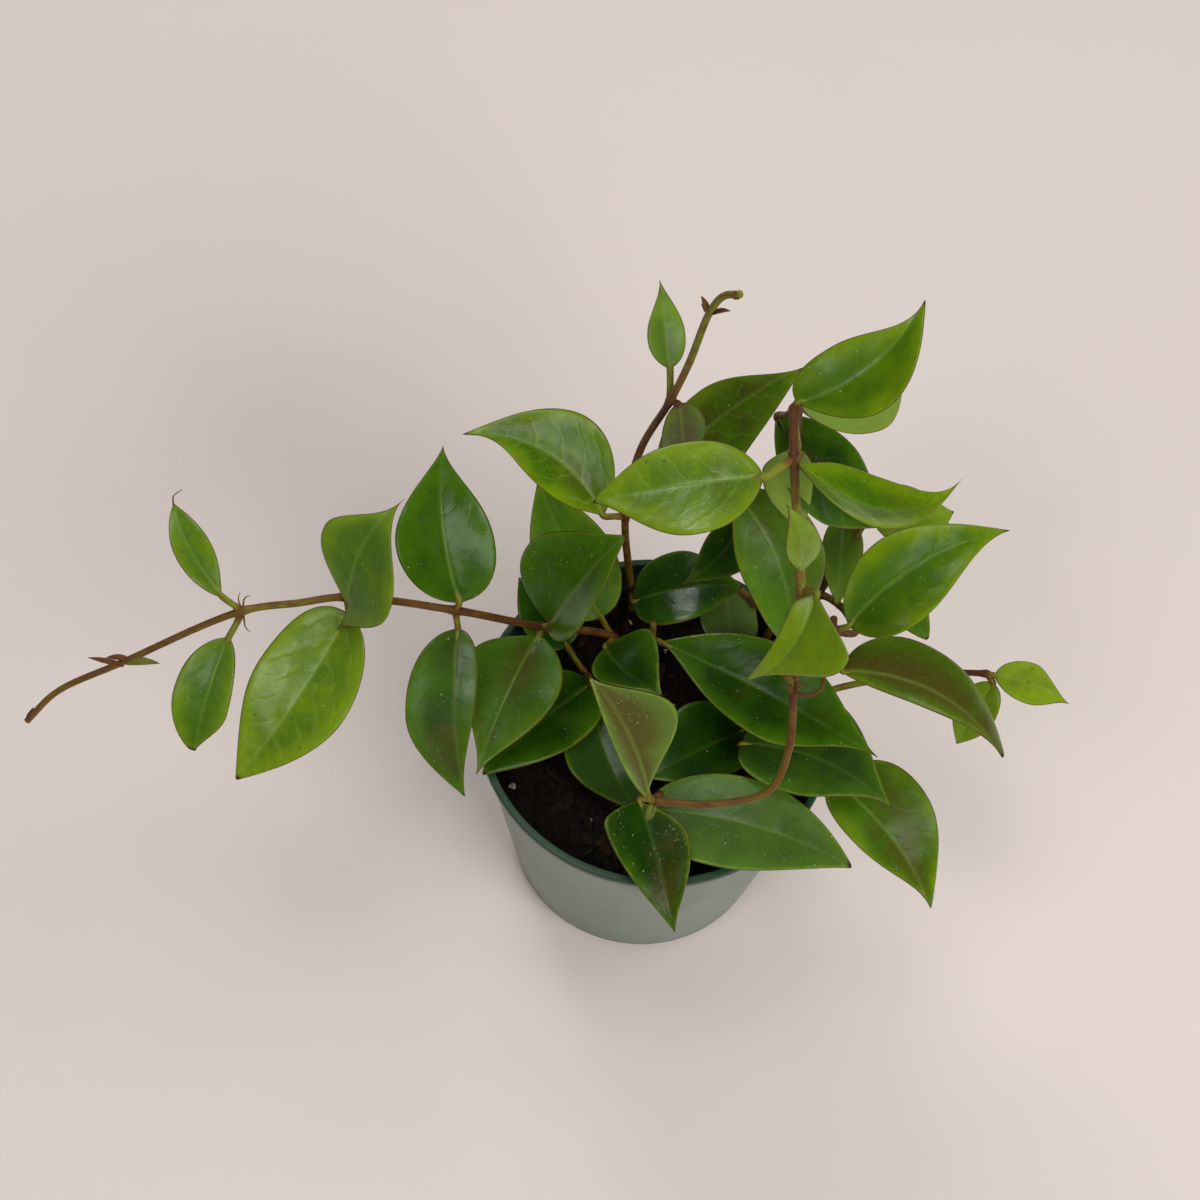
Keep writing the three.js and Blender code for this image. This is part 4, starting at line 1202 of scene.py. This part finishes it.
def tube(line, radii, sides):
    """Points and faces of a round tube along a line, with ends that bulge a little."""
    heading = np.gradient(line, axis=0)
    heading /= np.linalg.norm(heading, axis=1)[:, None]
    side = unit(np.cross(heading[0], [0.3, 0.2, 1.0]))
    x, y = np.cos(circle(sides)), np.sin(circle(sides))
    rings = []
    for middle, ahead, radius in zip(line, heading, radii):
        side = unit(side - ahead * (side @ ahead))
        rings.append(middle + radius * (np.outer(x, side) + np.outer(y, np.cross(ahead, side))))
    bulges = [line[0] - heading[0] * radii[0] * 0.4, line[-1] + heading[-1] * radii[-1] * 0.6]
    return np.vstack([*rings, bulges]), wrap(len(line), sides)


def add_stem(bundle, line, radii, woody, sides, seed=0.0):
    """Adds a tube with its marks: how woody each point is, and its place on the unrolled bark."""
    points, faces = tube(line, radii, sides)
    far, angles = distance_along(line), circle(sides)
    far = np.concatenate([np.repeat(far, sides), far[[0, -1]]])
    angles = np.concatenate([np.tile(angles, len(line)), [0, 0]])
    woody = np.concatenate([np.repeat(woody, sides), woody[[0, -1]]])
    unrolled = np.stack([far, BARK_RADIUS * np.cos(angles) + seed, BARK_RADIUS * np.sin(angles)], -1)
    bundle.add(points, faces, stem_woody=woody, stem_flat=unrolled)


sample_curve = smooth_path([(0, 0, 0), (1, 0, 0), (2, 1, 0)], STEM_STEPS)[0]
print("a curve through 3 points has", len(sample_curve), "points")

# %% [markdown]
# The bark finish goes from soft green to red-brown by the mark, with streaks along the stem, pale
# pores, and a slight satin shine.

# %% Stem finish
stem = Finish("stem_bark")
unrolled = stem.mark("stem_flat", "Vector")
streaky = stem.patches(stem.stretched(unrolled, 0.18, 1, 1), 1.3, 0.3, 0.7)
blotchy = stem.patches(unrolled, 0.22, 0.3, 0.7)
woody = stem.mark("stem_woody")
for unevenness in (streaky, blotchy):
    woody = stem.maths("ADD", woody, stem.times_plus(unevenness, 0.3, -0.15), clamp=True)
pores = stem.spots(unrolled, 1.1, 0.22, 0.25)
colour = stem.layers(
    rgb(124, 132, 40),
    (stem.ramp(woody, 0.0, 0.5), rgb(110, 80, 30)),
    (stem.ramp(woody, 0.45, 1.0), rgb(86, 48, 26)),
    (stem.times(streaky, 0.25), rgb(78, 58, 38)),
    (stem.times(pores, 0.5), rgb(164, 138, 102)))
stem.surface(
    colour, stem.ramp(streaky, 0.0, 1.0, 0.42, 0.6), stem.maths("ADD", streaky, stem.times(blotchy, 0.5)),
    strength=0.45, depth=0.0002, mirroring=0.3)

# %% [markdown]
# ## Growing the vines
#
# For every vine: the stem with its joints, a stalk to each leaf that bends down a little and then
# runs on under the blade as its midrib, the blades themselves, the bracts, and the small rods. The
# joints swell by more than a third within two millimetres. A bract is a small leaf of its own.

# %% Stem and stalk lines
JOINT_SWELL, JOINT_REACH, JOINT_BARK = 0.38, 1.7, 0.3
STALK_SAG = 0.08
STALK_RADII, MOST_THICKENING = (1.15, 0.88, 0.95, 0.6, 0.28), 1.2
UNDER_BLADE, BLADE_DROP = (0.06, 0.16), 0.25


def stem_line(vine):
    """The line of a stem, with its radius and how woody it is at each point."""
    line, index = smooth_path(vine.path, STEM_STEPS)
    distance = distance_along(line)
    thick, thin = vine.radii
    radii = thick + (thin - thick) * distance / distance[-1]
    woody = np.interp(np.arange(len(line)), index, vine.bark)
    for joint in sorted({leaf.node for leaf in vine.leaves}):
        bulge = np.exp(-((distance - distance[index[joint]]) / JOINT_REACH) ** 2)
        radii = radii * (1 + JOINT_SWELL * bulge)
        woody = np.clip(woody + JOINT_BARK * bulge, 0, 1)
    return line, radii, woody


def stalk_line(vine, leaf):
    """The same for a stalk: from the joint, over a sagging middle, to the base and on under the blade."""
    joint, base = np.array(vine.path[leaf.node], float), np.array(leaf.base, float)
    middle = (joint + base) / 2
    middle[2] -= STALK_SAG * np.linalg.norm(joint - middle)
    up = blade_frame(leaf)[3]
    under = [on_blade(leaf, np.array([s]), np.array([0.0]))[0] - up * BLADE_DROP for s in UNDER_BLADE]
    line, index = smooth_path([joint, middle, base, *under], STALK_STEPS)
    radii = list(STALK_RADII)
    radii[1] *= leaf.stalk_thick
    radii[2] *= min(leaf.stalk_thick, MOST_THICKENING)
    woody = [0.8, leaf.stalk, leaf.stalk * 0.9, 0.1, 0.05]
    steps = np.arange(len(line))
    return line, np.interp(steps, index, radii), np.interp(steps, index, woody)


first_vine = VINES["vine_left"]
print("the left stem is", round(distance_along(stem_line(first_vine)[0])[-1]), "mm long")

# %% Grow
STEM_SIDES, STALK_SIDES, ROD_SIDES = 14, 10, 8
SEED_STEP = 0.377
BRACT_FORM = (10, 0.4, 0, 0.9)
BRACT_SKIN = 2

seed = 0.0
for name, vine in VINES.items():
    stems, blades = Bundle(), Bundle()
    add_stem(stems, *stem_line(vine), sides=STEM_SIDES)
    for leaf in vine.leaves:
        seed = (seed + SEED_STEP) % 1
        add_stem(stems, *stalk_line(vine, leaf), sides=STALK_SIDES, seed=7 * seed)
        points, faces, skins, marks = leaf_body(leaf, seed)
        blades.add(points, faces, skins, **marks)
    for scale in vine.scales:
        form = (scale.base, scale.tip, scale.width, 0, scale.arch, *BRACT_FORM)
        small = Leaf(0, *form, scale.dry, 0, 0, 0, 0)
        points, faces, skins, marks = leaf_body(small, 0.1, wave=0.0)
        blades.add(points, faces, [BRACT_SKIN] * len(faces), **marks)
    for bit in vine.bits:
        line, _ = smooth_path(bit.through, STALK_STEPS)
        radii, woody = np.linspace(*bit.radii, len(line)), np.full(len(line), bit.bark)
        add_stem(stems, line, radii, woody, sides=ROD_SIDES)
    blades.piece(name + "_leaves", [face, back, bract], "foliage", [name])
    stems.piece(name + "_stem", [stem], "foliage", [name])
